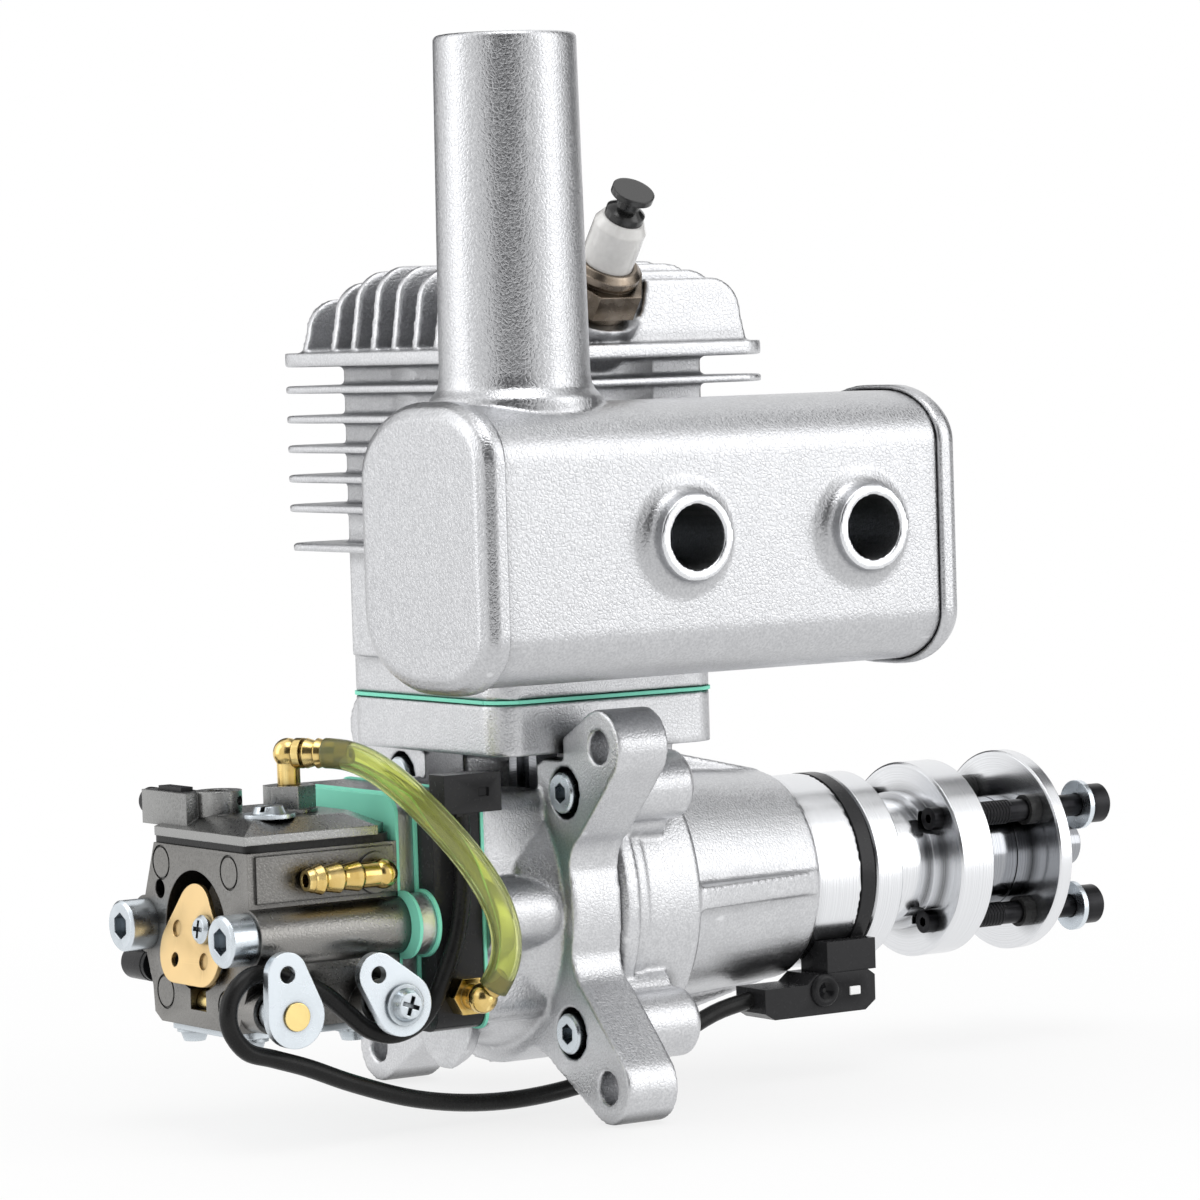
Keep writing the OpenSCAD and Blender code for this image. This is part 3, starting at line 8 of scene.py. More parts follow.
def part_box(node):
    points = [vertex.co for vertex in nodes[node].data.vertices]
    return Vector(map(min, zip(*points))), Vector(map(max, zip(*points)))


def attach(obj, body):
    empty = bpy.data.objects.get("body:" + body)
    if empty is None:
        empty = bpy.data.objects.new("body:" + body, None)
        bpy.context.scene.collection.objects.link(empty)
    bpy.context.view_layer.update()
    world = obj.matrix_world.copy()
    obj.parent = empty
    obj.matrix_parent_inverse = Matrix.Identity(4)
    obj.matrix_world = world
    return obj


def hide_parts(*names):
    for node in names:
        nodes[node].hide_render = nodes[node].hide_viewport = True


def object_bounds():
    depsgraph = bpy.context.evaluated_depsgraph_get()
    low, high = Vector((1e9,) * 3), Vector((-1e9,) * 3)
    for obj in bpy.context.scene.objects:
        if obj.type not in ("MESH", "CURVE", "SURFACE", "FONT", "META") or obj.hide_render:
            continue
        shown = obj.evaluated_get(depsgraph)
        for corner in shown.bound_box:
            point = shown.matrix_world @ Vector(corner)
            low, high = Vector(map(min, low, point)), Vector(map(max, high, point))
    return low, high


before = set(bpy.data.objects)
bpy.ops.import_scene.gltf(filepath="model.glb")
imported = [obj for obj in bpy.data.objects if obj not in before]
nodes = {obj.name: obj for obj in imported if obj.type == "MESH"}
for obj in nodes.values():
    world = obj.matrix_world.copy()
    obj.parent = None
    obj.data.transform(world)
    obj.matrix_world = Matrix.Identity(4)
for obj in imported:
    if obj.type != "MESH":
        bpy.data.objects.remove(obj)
cad_low, cad_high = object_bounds()
scene = bpy.context.scene

# one millimetre, in metres
MM = 0.001

# camera of the photograph, in the part's frame
CAMERA_PLACE = Vector((-0.47246, -0.74261, 0.09641))
CAMERA_AZIMUTH = math.radians(-33.84)
CAMERA_ELEVATION = math.radians(2.98)
CAMERA_ROLL = math.radians(-1.72)
CAMERA_LENS = 156.5
SENSOR_WIDTH = 36.0
CLIP_START = 0.05
CLIP_END = 20

# the ignition sensor's lead and the pulse hose
CABLE_DIAMETER = 3 * MM
CABLE_STEPS = 6
CABLE_ROUNDNESS = 5
HOSE_DIAMETER = 5 * MM
HOSE_BORE = 3.2 * MM
HOSE_STEPS = 14
HOSE_SIDES = 56
HOSE_EVENING_ROUNDS = 120

# their routes in millimetres, from the part's source
CABLE_POINTS = [
    (47, -12, -20), (38, -12.4, -21.6), (25, -13.6, -26.4), (12, -14.6, -30), (-1, -15.4, -31.4),
    (-14, -16.9, -30.9), (-27, -19, -28.6), (-39, -20.6, -24.8), (-48, -21.2, -21.2), (-54.6, -21.6, -19),
    (-59.8, -21.9, -17.2), (-62.8, -22, -13.1), (-62.3, -21.8, -8.6), (-58.9, -21.4, -5.6),
    (-54.6, -20.9, -5.3), (-49.6, -20.4, -6.7), (-44, -20, -9.6), (-39.6, -19.9, -13.2),
    (-35.8, -20.3, -16.3), (-31.8, -21, -17.4), (-28, -22, -16.1), (-25.4, -23.1, -12.9),
    (-23.4, -23.8, -8.4), (-21.2, -24, -3), (-19.7, -24, 3.4), (-19.2, -24, 10.8), (-19.4, -24, 18),
]
HOSE_POINTS = [
    (-17.8, -29.8, -10.3), (-16.5, -31.3, -7.2), (-16.2, -32.5, -2.6), (-18, -32.9, 3.4),
    (-21.4, -31.8, 9.8), (-25.6, -29.2, 16.2), (-29.6, -25.2, 22), (-32.7, -20.2, 26.4),
    (-35.2, -15.2, 28.4), (-37.2, -11.8, 28.5),
]

# floor: it glows by the share GLOW_NEAR up to SHADOW_NEAR from the middle, where the shadow shows,
# and wholly past SHADOW_FAR
FLOOR_SIZE = 12
FLOOR_GAP = 0.0002
FLOOR_COLOUR = (0.9, 0.9, 0.9)
SHADOW_NEAR = 0.12
SHADOW_FAR = 0.34
GLOW_NEAR = 0.8
WORLD_LIGHT = 0.75
WHITE = (1, 1, 1, 1)

# softboxes: name, azimuth in degrees, height over the target, distance, size, power in watts
LIGHT_TARGET = Vector((0.02, -0.01, 0.05))
SOFTBOXES = (
    ("left_softbox", 150, 0.35, 0.9, (0.5, 0.9), 2.1),
    ("right_softbox", -52, 0.35, 1.0, (0.45, 0.9), 2.2),
    ("top_softbox", -110, 1.1, 0.35, (0.7, 0.7), 4),
)

# dark flags: azimuth and half width in degrees, then their distance, foot and top
FLAGS = ((-124, 27), (4, 18), (78, 18))
FLAG_COLOUR = (0.05, 0.05, 0.055)
FLAG_RADIUS = 1.9
FLAG_BOTTOM = 0.02
FLAG_TOP = 2.4
FLAG_STEPS = 12

# the turned ring on the crankcase's nose starts here, and cut ends of tubes are this deep
NOSE_RING_X = 57.2 * MM
CUT_DEPTH = 0.25 * MM

# room between the piston and the softened bore, and how far from it the bore's wall is looked for
PISTON_STROKE = 29 * MM
BORE_ROOM = 0.2 * MM
BORE_WALL = 0.9 * MM

# propeller bolts: circle radius, first angle, and the threaded stretch in front of the hub
BOLT_CIRCLE_R = 13.2 * MM
BOLT_PHASE = 52.5
BOLT_COUNT = 4
THREAD_START = 96.4 * MM
THREAD_END = 104.4 * MM
THREAD_R = 2.0 * MM
THREAD_PITCH = 0.7 * MM
THREAD_HEIGHT = 0.16 * MM
THREAD_SIDES = 20

# the ridge's section: along the axis as a share of the pitch, and out as a share of the height
THREAD_SECTION = ((-0.42, -0.04), (0.0, 1.0), (0.42, -0.04))

# the ignition sensor's window, and its eye with its turned profile of radius and height, in millimetres
WINDOW_LOW = (64.05, -16.8, -20.55)
WINDOW_HIGH = (66.35, -16.1, -19.05)
WINDOW_EDGE = 0.15
EYE_PLACE = (58.6, -16.6, -19.2)
EYE_SIDES = 40
EYE_PROFILE = (
    (0.4, -0.2), (0.5, 0.25), (1.3, 0.3), (1.5, 0.7), (2.2, 0.85), (2.7, 0.7), (2.9, 0.3), (2.95, -0.2),
)

# samples of the shading nodes that look round a point
NODE_SAMPLES = 4

# softened castings: piece, nodes, voxel size in millimetres, smoothing rounds, triangles kept, finish
CASTINGS = (
    ("crankcase_casting", ("crankcase",), 0.42, 4, 150000, "cast"),
    ("rear_cover_casting", ("rear_cover",), 0.42, 4, 110000, "cast"),
    ("cylinder_casting", ("cylinder_block",), 0.42, 2, 190000, "cast"),
    ("muffler_can", ("muffler_body", "access_tubes", "stack_pipe"), 0.4, 4, 150000, "blasted"),
    ("muffler_ends", ("muffler_caps",), 0.4, 2, 60000, "blasted"),
)


def make_camera():
    """The photograph's camera: azimuth, elevation, then the roll about its own view axis."""
    forward = Vector((
        -math.sin(CAMERA_AZIMUTH) * math.cos(CAMERA_ELEVATION),
        math.cos(CAMERA_AZIMUTH) * math.cos(CAMERA_ELEVATION),
        -math.sin(CAMERA_ELEVATION),
    ))
    right = forward.cross(Vector((0, 0, 1))).normalized()
    up = right.cross(forward)
    c, s = math.cos(CAMERA_ROLL), math.sin(CAMERA_ROLL)
    rolled_right = c * right + s * up
    rolled_up = -s * right + c * up
    data = bpy.data.cameras.new("photo_camera")
    data.lens = CAMERA_LENS
    data.sensor_width = SENSOR_WIDTH
    data.clip_start = CLIP_START
    data.clip_end = CLIP_END
    turn = Matrix((rolled_right, rolled_up, -forward)).transposed().to_4x4()
    scene.camera = link_object("photo_camera", data)
    scene.camera.matrix_world = Matrix.Translation(CAMERA_PLACE) @ turn


def spline_point(points, i, t):
    """Catmull-Rom spline between points i and i + 1, with t from 0 to 1."""
    a = points[max(0, i - 1)]
    b = points[i]
    c = points[min(len(points) - 1, i + 1)]
    d = points[min(len(points) - 1, i + 2)]
    square = 2 * a - 5 * b + 4 * c - d
    cube = 3 * b - a - 3 * c + d
    return 0.5 * (2 * b + (c - a) * t + square * t * t + cube * t ** 3)


def smooth_route(points_mm, steps):
    points = [Vector(p) * MM for p in points_mm]
    route = [spline_point(points, i, k / steps) for i in range(len(points) - 1) for k in range(steps)]
    return route + [points[-1]]


def evened(route, rounds):
    """The route with its small kinks evened out. Its ends stay."""
    for _ in range(rounds):
        middle = [(a + 2 * b + c) / 4 for a, b, c in zip(route, route[1:], route[2:])]
        route = [route[0], *middle, route[-1]]
    return route


def link_object(name, data):
    obj = bpy.data.objects.new(name, data)
    scene.collection.objects.link(obj)
    return obj


def piece_from(bm, name, material, smooth=False):
    """Turns the bmesh into an object with one material."""
    mesh = bpy.data.meshes.new(name)
    bm.to_mesh(mesh)
    bm.free()
    if smooth:
        mesh.shade_smooth()
    mesh.materials.append(material)
    return link_object(name, mesh)


def ring_angles(sides):
    return [2 * math.pi * k / sides for k in range(sides)]


def bridge(bm, ring, after):
    """Quads between two closed rings with as many vertices."""
    for k in range(len(ring)):
        n = (k + 1) % len(ring)
        bm.faces.new((ring[k], ring[n], after[n], after[k]))


def curve_tube(name, route, radius, material):
    """A round curve along the route."""
    data = bpy.data.curves.new(name, "CURVE")
    data.dimensions = "3D"
    data.bevel_depth = radius
    data.bevel_resolution = CABLE_ROUNDNESS
    data.use_fill_caps = True
    line = data.splines.new("POLY")
    line.points.add(len(route) - 1)
    for point, place in zip(line.points, route):
        point.co = (*place, 1)
    data.materials.append(material)
    return link_object(name, data)


class Shader:
    """A material under construction: a Principled BSDF and a few helpers that add nodes to it."""

    def __init__(self, name):
        self.mat = bpy.data.materials.new(name)
        self.mat.use_nodes = True
        self.tree = self.mat.node_tree
        self.bsdf = self.tree.nodes["Principled BSDF"]
        self.coords = self.node("ShaderNodeTexCoord").outputs["Object"]

    def node(self, kind, **settings):
        made = self.tree.nodes.new(kind)
        for key, value in settings.items():
            setattr(made, key, value)
        return made

    def link(self, source, target):
        self.tree.links.new(source, target)

    def set(self, **values):
        for key, value in values.items():
            self.bsdf.inputs[key.replace("_", " ")].default_value = value

    def noise(self, scale, detail, roughness=0.55):
        made = self.node("ShaderNodeTexNoise")
        made.inputs["Scale"].default_value = scale
        made.inputs["Detail"].default_value = detail
        made.inputs["Roughness"].default_value = roughness
        self.link(self.coords, made.inputs["Vector"])
        return made.outputs["Fac"]

    def cell_walls(self, scale):
        """Distance to the nearest wall between cells."""
        made = self.node("ShaderNodeTexVoronoi", feature="DISTANCE_TO_EDGE")
        made.inputs["Scale"].default_value = scale
        self.link(self.coords, made.inputs["Vector"])
        return made.outputs["Distance"]

    def ramp(self, source, low, high, start=0, end=1):
        """source from low to high, stretched to run from start to end."""
        made = self.node("ShaderNodeMapRange")
        made.inputs["From Min"].default_value = low
        made.inputs["From Max"].default_value = high
        made.inputs["To Min"].default_value = start
        made.inputs["To Max"].default_value = end
        self.link(source, made.inputs["Value"])
        return made.outputs["Result"]

    def mix(self, factor, dark, light):
        """dark where factor is 0 and light where it is 1. Either is a colour or a socket."""
        made = self.node("ShaderNodeMix", data_type="RGBA")
        self.link(factor, made.inputs["Factor"])
        for socket, value in ((made.inputs["A"], dark), (made.inputs["B"], light)):
            if isinstance(value, bpy.types.NodeSocket):
                self.link(value, socket)
            else:
                socket.default_value = (*value, 1)
        return made.outputs["Result"]

    def maths(self, operation, a, b):
        made = self.node("ShaderNodeMath", operation=operation)
        for socket, value in ((made.inputs[0], a), (made.inputs[1], b)):
            if isinstance(value, bpy.types.NodeSocket):
                self.link(value, socket)
            else:
                socket.default_value = value
        return made.outputs[0]

    def edges(self, low, high):
        """Bright on worn convex edges, dark elsewhere."""
        geometry = self.node("ShaderNodeNewGeometry")
        return self.ramp(geometry.outputs["Pointiness"], low, high)

    def painted_crevice_shade(self, base, dark, reach=3 * MM, low=0.25, high=0.95):
        """base, darkened by painted shade where other surfaces stand close by."""
        # painted shade: ambient occlusion darkens the colour in corners and gaps
        near = self.node("ShaderNodeAmbientOcclusion", samples=NODE_SAMPLES)
        near.inputs["Distance"].default_value = reach
        return self.mix(self.ramp(near.outputs["AO"], low, high), dark, base)

    def turning(self, pitch):
        """Fine lines round the X axis, as a lathe tool leaves them on faces and cylinders alike."""
        split = self.node("ShaderNodeSeparateXYZ")
        self.link(self.coords, split.inputs["Vector"])
        x, y, z = (split.outputs[axis] for axis in "XYZ")
        squares = self.maths("ADD", self.maths("MULTIPLY", y, y), self.maths("MULTIPLY", z, z))
        place = self.maths("ADD", self.maths("SQRT", squares, 0.0), x)
        made = self.node("ShaderNodeTexNoise", noise_dimensions="1D")
        made.inputs["Scale"].default_value = 1 / pitch
        made.inputs["Detail"].default_value = 3
        self.link(place, made.inputs["W"])
        return made.outputs["Fac"]

    def colour(self, source):
        self.link(source, self.bsdf.inputs["Base Color"])

    def rough(self, source, low, high):
        self.link(self.ramp(source, 0.3, 0.7, low, high), self.bsdf.inputs["Roughness"])

    def bumps(self, heights, edge=0.0):
        """heights is a list of (socket, depth in metres). edge rounds corners by that radius."""
        normal = None
        if edge:
            bevel = self.node("ShaderNodeBevel", samples=NODE_SAMPLES)
            bevel.inputs["Radius"].default_value = edge
            normal = bevel.outputs["Normal"]
        for height, depth in heights:
            made = self.node("ShaderNodeBump")
            made.inputs["Strength"].default_value = 1
            made.inputs["Distance"].default_value = depth
            self.link(height, made.inputs["Height"])
            if normal:
                self.link(normal, made.inputs["Normal"])
            normal = made.outputs["Normal"]
        if normal:
            self.link(normal, self.bsdf.inputs["Normal"])


def scaled(colour, factor, lift=0.0):
    """The colour times the factor, plus lift, at most 1."""
    return tuple(min(1.0, c * factor + lift) for c in colour)


def cast_metal(name, dark, light, grain=2400, depth=0.04 * MM, rough=(0.3, 0.44), edge=0.4 * MM, lines=0.5):
    """Blasted casting: fine grain, thin leathery wrinkles, brighter worn edges, and painted shade in its
    corners.
    """
    sh = Shader(name)
    sh.set(Metallic=1.0)
    fine = sh.noise(grain, 2, 0.6)
    wrinkles = sh.ramp(sh.cell_walls(grain * 0.6), 0.0, 0.2)
    base = sh.mix(sh.ramp(fine, 0.36, 0.62), dark, light)
    patchy = sh.ramp(sh.noise(320, 3), 0.42, 0.6, 0, lines)
    lined = sh.mix(sh.maths("MAXIMUM", wrinkles, sh.maths("SUBTRACT", 1.0, patchy)), dark, base)
    worn = sh.mix(sh.edges(0.52, 0.62), lined, scaled(light, 1.12))
    # painted shade: darker where other surfaces stand close by
    sh.colour(sh.painted_crevice_shade(worn, scaled(dark, 0.22)))
    sh.rough(fine, *rough)
    sh.bumps([(fine, depth), (wrinkles, depth * 0.45)], edge)
    return sh.mat


def turned_metal(name, dark, light, rough=(0.14, 0.24)):
    """Bright lathe-turned metal: lines round the X axis that spread each highlight across them, and painted
    shade in its corners.
    """
    sh = Shader(name)
    sh.set(Metallic=1.0, Anisotropic=0.75)
    lines = sh.turning(0.18 * MM)
    base = sh.mix(sh.ramp(lines, 0.3, 0.7), dark, light)
    # painted shade: darker where other surfaces stand close by
    sh.colour(sh.painted_crevice_shade(base, scaled(dark, 0.25), 2.5 * MM))
    sh.rough(lines, *rough)
    tangent = sh.node("ShaderNodeTangent", direction_type="RADIAL", axis="X")
    sh.link(tangent.outputs["Tangent"], sh.bsdf.inputs["Tangent"])
    sh.bumps([(lines, 0.002 * MM)], 0.2 * MM)
    return sh.mat


def plated_metal(name, dark, light, rough=(0.2, 0.36), edge=0.25 * MM, grain=1800):
    """Plated or polished small part, a little uneven, with brighter edges and painted shade in its corners.
    """
    depth = 0.01 * MM
    sh = Shader(name)
    sh.set(Metallic=1.0)
    broad = sh.noise(260, 4)
    fine = sh.noise(grain, 3)
    base = sh.mix(sh.ramp(broad, 0.35, 0.66), dark, light)
    worn = sh.mix(sh.edges(0.52, 0.62), base, scaled(light, 1.15))
    # painted shade: darker where other surfaces stand close by
    sh.colour(sh.painted_crevice_shade(worn, scaled(dark, 0.2), 1.8 * MM))
    sh.rough(broad, *rough)
    sh.bumps([(fine, depth), (broad, depth)], edge)
    return sh.mat


def plain_surface(name, dark, light, rough, grain=1200, depth=0.02 * MM, edge=0.2 * MM, shine=0.5):
    """Plastic, rubber or paper with a fine grain and paler edges."""
    sh = Shader(name)
    sh.set(Specular_IOR_Level=shine)
    broad = sh.noise(140, 3)
    fine = sh.noise(grain, 4, 0.6)
    base = sh.mix(sh.ramp(broad, 0.35, 0.65), dark, light)
    sh.colour(sh.mix(sh.edges(0.51, 0.6), base, scaled(light, 1.5, 0.01)))
    sh.rough(fine, *rough)
    sh.bumps([(fine, depth), (broad, depth)], edge)
    return sh.mat


def ceramic():
    """Glazed insulator with a rounded shoulder."""
    sh = Shader("white_ceramic")
    speck = sh.noise(700, 4)
    sh.colour(sh.mix(sh.ramp(speck, 0.3, 0.7), (0.74, 0.73, 0.71), (0.82, 0.81, 0.79)))
    sh.rough(sh.noise(90, 2), 0.08, 0.16)
    sh.set(Coat_Weight=0.6, Coat_Roughness=0.06)
    sh.bumps([(speck, 0.004 * MM)], 0.9 * MM)
    return sh.mat


def clear_hose():
    """Clear yellow tubing."""
    sh = Shader("hose_yellow")
    cloud = sh.noise(120, 3)
    sh.colour(sh.mix(sh.ramp(cloud, 0.3, 0.7), (0.84, 0.90, 0.30), (0.92, 0.95, 0.46)))
    sh.rough(cloud, 0.01, 0.03)
    sh.set(Transmission_Weight=0.87, IOR=1.42)
    sh.bumps([(sh.noise(300, 2), 0.002 * MM)])
    return sh.mat


def make_materials():
    return {
        "cast": cast_metal("cast_aluminium", (0.56, 0.565, 0.58), (0.70, 0.705, 0.72)),
        "blasted": cast_metal("muffler_aluminium", (0.50, 0.505, 0.52), (0.63, 0.635, 0.65),
                              grain=2300, rough=(0.28, 0.4), edge=0, lines=0.3),
        "carb": cast_metal("carburettor_zinc", (0.18, 0.176, 0.168), (0.24, 0.234, 0.224),
                           depth=0.03 * MM, rough=(0.26, 0.38), edge=0.3 * MM, lines=0.6),
        "cover": cast_metal("cover_zinc", (0.24, 0.24, 0.235), (0.32, 0.32, 0.315),
                            depth=0.02 * MM, rough=(0.24, 0.36), edge=0.3 * MM, lines=0.25),
        "cut": plated_metal("cut_aluminium", (0.66, 0.67, 0.69), (0.78, 0.79, 0.81), (0.18, 0.3), edge=0),
        "machined": turned_metal("machined_aluminium", (0.74, 0.75, 0.77), (0.86, 0.87, 0.89)),
        "steel": turned_metal("turned_steel", (0.26, 0.27, 0.29), (0.42, 0.43, 0.45), (0.08, 0.16)),
        "zinc": plated_metal("zinc_plated", (0.50, 0.55, 0.59), (0.64, 0.69, 0.73)),
        "black_steel": plated_metal("black_oxide", (0.012, 0.012, 0.014), (0.035, 0.035, 0.037),
                                    (0.3, 0.45)),
        "brass": plated_metal("brass", (0.68, 0.47, 0.15), (0.90, 0.68, 0.29), (0.14, 0.28)),
        "plate_brass": plated_metal("brushed_brass", (0.60, 0.42, 0.19), (0.74, 0.54, 0.27),
                                    (0.3, 0.42), grain=900),
        "bronze": plated_metal("plug_shell_bronze", (0.20, 0.16, 0.12), (0.38, 0.32, 0.26), (0.2, 0.34)),
        "green": plain_surface("gasket_green", (0.10, 0.50, 0.36), (0.20, 0.64, 0.48),
                               (0.6, 0.8), grain=2200, depth=0.03 * MM),
        "plastic": plain_surface("black_plastic", (0.006, 0.006, 0.007), (0.014, 0.014, 0.015),
                                 (0.18, 0.3), shine=0.16),
        "rubber": plain_surface("black_rubber", (0.006, 0.006, 0.006), (0.012, 0.012, 0.012),
                                (0.22, 0.34), grain=700, shine=0.16),
        "gloss": plain_surface("black_gloss", (0.008, 0.008, 0.008), (0.016, 0.016, 0.016),
                               (0.08, 0.16), grain=500, depth=0.004 * MM, edge=0.5 * MM, shine=0.45),
        "white": plain_surface("white_window", (0.75, 0.76, 0.78), (0.85, 0.86, 0.88), (0.3, 0.4)),
        "ceramic": ceramic(),
        "hose": clear_hose(),
    }


# the CAD nodes of each finish
FINISHES = {
    "cast": "crankcase rear_cover cylinder_block carb_spacer",
    "blasted": "muffler_body muffler_caps access_tubes stack_pipe",
    "carb": "carb_body",
    "cover": "carb_top_cover elbow_nut",
    "machined": "prop_hub prop_washer piston",
    "steel": "centre_boss crankshaft crankpin connecting_rod wrist_pin piston_ring main_bearings hub_magnet "
             "throttle_shaft reed_petals exhaust_gasket",
    "zinc": "case_screws base_screws muffler_screws carb_mount_screws cover_screws carb_bottom_cover "
            "choke_plate_screw choke_lever throttle_lever throttle_screw prop_bolt_washers",
    "black_steel": "prop_bolts",
    "brass": "fuel_barb pulse_elbow pulse_fitting choke_shaft rod_bearings",
    "plate_brass": "choke_plate throttle_plate",
    "bronze": "plug_shell",
    "green": "base_gasket inlet_gaskets",
    "plastic": "reed_block cover_knob idle_screw sensor_ring sensor_body cable_connector",
    "gloss": "plug_terminal",
    "rubber": "carb_diaphragm shaft_seal bolt_rings sensor_cable",
    "ceramic": "plug_insulator",
    "hose": "pulse_hose",
}


def dress_nodes(materials):
    """Gives each CAD node its finish."""
    for finish, names in FINISHES.items():
        for name in names.split():
            mesh = nodes[name].data
            mesh.materials.clear()
            mesh.materials.append(materials[finish])


def hollow_tube(name, route, outer, inner, sides, material):
    """A mesh tube with an inner wall and ring-shaped ends, swept along the route without twist."""
    bm = bmesh.new()
    up = Vector((1, 0, 0))
    outside, inside = [], []
    for i, place in enumerate(route):
        ahead = (route[min(i + 1, len(route) - 1)] - route[max(i - 1, 0)]).normalized()
        up = (up - up.dot(ahead) * ahead).normalized()
        side = ahead.cross(up)
        for rings, radius in ((outside, outer), (inside, inner)):
            rings.append([
                bm.verts.new(place + radius * (math.cos(t) * up + math.sin(t) * side))
                for t in ring_angles(sides)
            ])
    for rings in (outside, inside):
        for ring, after in zip(rings, rings[1:]):
            bridge(bm, ring, after)
    bridge(bm, outside[0], inside[0])
    bridge(bm, outside[-1], inside[-1])
    bmesh.ops.recalc_face_normals(bm, faces=bm.faces)
    return piece_from(bm, name, material, smooth=True)


def make_cords(materials):
    """The lead of the ignition sensor and the pulse hose. Both lie along their solids."""
    cable_route = smooth_route(CABLE_POINTS, CABLE_STEPS)
    cable = curve_tube("sensor_lead", cable_route, CABLE_DIAMETER / 2, materials["rubber"])
    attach(cable, "engine")
    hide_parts("sensor_cable")
    hose_route = evened(smooth_route(HOSE_POINTS, HOSE_STEPS), HOSE_EVENING_ROUNDS)
    hose = hollow_tube("pulse_line", hose_route, HOSE_DIAMETER / 2, HOSE_BORE / 2, HOSE_SIDES,
                       materials["hose"])
    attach(hose, "engine")
    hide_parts("pulse_hose")


def seen_directly(tree):
    """1 where a camera, glossy or transmission ray meets the surface, so that it shows as background."""
    path = tree.nodes.new("ShaderNodeLightPath")
    total = path.outputs["Is Camera Ray"]
    for kind in ("Is Glossy Ray", "Is Transmission Ray"):
        both = tree.nodes.new("ShaderNodeMath")
        both.operation = "MAXIMUM"
        tree.links.new(total, both.inputs[0])
        tree.links.new(path.outputs[kind], both.inputs[1])
        total = both.outputs[0]
    return total


def floor_material():
    """Plain pale floor: white to the eye, with the object's shadow near it, and all white far off."""
    mat = bpy.data.materials.new("pale_floor")
    mat.use_nodes = True
    tree = mat.node_tree
    tree.nodes.clear()
    out = tree.nodes.new("ShaderNodeOutputMaterial")
    diffuse = tree.nodes.new("ShaderNodeBsdfDiffuse")
    diffuse.inputs["Color"].default_value = (*FLOOR_COLOUR, 1)
    glow = tree.nodes.new("ShaderNodeEmission")
    glow.inputs["Color"].default_value = WHITE
    glow.inputs["Strength"].default_value = 1.0
    coords = tree.nodes.new("ShaderNodeTexCoord")
    away = tree.nodes.new("ShaderNodeVectorMath")
    away.operation = "LENGTH"
    tree.links.new(coords.outputs["Object"], away.inputs[0])
    share = tree.nodes.new("ShaderNodeMapRange")
    share.interpolation_type = "SMOOTHSTEP"
    share.inputs["From Min"].default_value = SHADOW_NEAR
    share.inputs["From Max"].default_value = SHADOW_FAR
    share.inputs["To Min"].default_value = GLOW_NEAR
    share.inputs["To Max"].default_value = 1
    tree.links.new(away.outputs["Value"], share.inputs["Value"])
    glowing = tree.nodes.new("ShaderNodeMath")
    glowing.operation = "MULTIPLY"
    tree.links.new(share.outputs["Result"], glowing.inputs[0])
    tree.links.new(seen_directly(tree), glowing.inputs[1])
    mix = tree.nodes.new("ShaderNodeMixShader")
    tree.links.new(glowing.outputs[0], mix.inputs["Fac"])
    tree.links.new(diffuse.outputs[0], mix.inputs[1])
    tree.links.new(glow.outputs[0], mix.inputs[2])
    tree.links.new(mix.outputs[0], out.inputs["Surface"])
    return mat


def make_floor():
    half = FLOOR_SIZE / 2
    mesh = bpy.data.meshes.new("studio_floor")
    corners = [(-half, -half, 0), (half, -half, 0), (half, half, 0), (-half, half, 0)]
    mesh.from_pydata(corners, [], [(0, 1, 2, 3)])
    mesh.materials.append(floor_material())
    floor = link_object("studio_floor", mesh)
    floor.location = (0, 0, cad_low.z - FLOOR_GAP)


def make_world():
    """White where it is seen or mirrored, and a little dimmer as light on the object."""
    world = bpy.data.worlds.new("studio")
    scene.world = world
    world.use_nodes = True
    tree = world.node_tree
    tree.nodes.clear()
    out = tree.nodes.new("ShaderNodeOutputWorld")
    mix = tree.nodes.new("ShaderNodeMixShader")
    tree.links.new(seen_directly(tree), mix.inputs["Fac"])
    for slot, strength in ((1, WORLD_LIGHT), (2, 1.0)):
        light = tree.nodes.new("ShaderNodeBackground")
        light.inputs["Color"].default_value = WHITE
        light.inputs["Strength"].default_value = strength
        tree.links.new(light.outputs[0], mix.inputs[slot])
    tree.links.new(mix.outputs[0], out.inputs["Surface"])


def make_lights():
    """Softboxes that face the target. Azimuth is measured from the part's X axis."""
    for name, azimuth, height, distance, size, power in SOFTBOXES:
        data = bpy.data.lights.new(name, "AREA")
        data.shape = "RECTANGLE"
        data.size, data.size_y = size
        data.energy = power
        turn = math.radians(azimuth)
        place = LIGHT_TARGET + Vector((distance * math.cos(turn), distance * math.sin(turn), height))
        lamp = link_object(name, data)
        lamp.location = place
        lamp.rotation_euler = (LIGHT_TARGET - place).to_track_quat("-Z", "Y").to_euler()


def make_flags():
    """Dark flags that polished metal mirrors between the softboxes. The camera doesn't see them."""
    mat = bpy.data.materials.new("dark_flag")
    mat.use_nodes = True
    surface = mat.node_tree.nodes["Principled BSDF"]
    surface.inputs["Base Color"].default_value = (*FLAG_COLOUR, 1)
    surface.inputs["Roughness"].default_value = 0.9
    row = FLAG_STEPS + 1
    for i, (azimuth, half_width) in enumerate(FLAGS):
        turns = [math.radians(azimuth + half_width * (2 * k / FLAG_STEPS - 1)) for k in range(row)]
        verts = [
            (FLAG_RADIUS * math.cos(t), FLAG_RADIUS * math.sin(t), z)
            for z in (FLAG_BOTTOM, FLAG_TOP) for t in turns
        ]
        faces = [(k, k + 1, k + 1 + row, k + row) for k in range(FLAG_STEPS)]
        mesh = bpy.data.meshes.new("flag_%d" % i)
        mesh.from_pydata(verts, [], faces)
        mesh.materials.append(mat)
        flag = link_object("flag_%d" % i, mesh)
        flag.visible_camera = False
        flag.visible_diffuse = False
        flag.visible_shadow = False


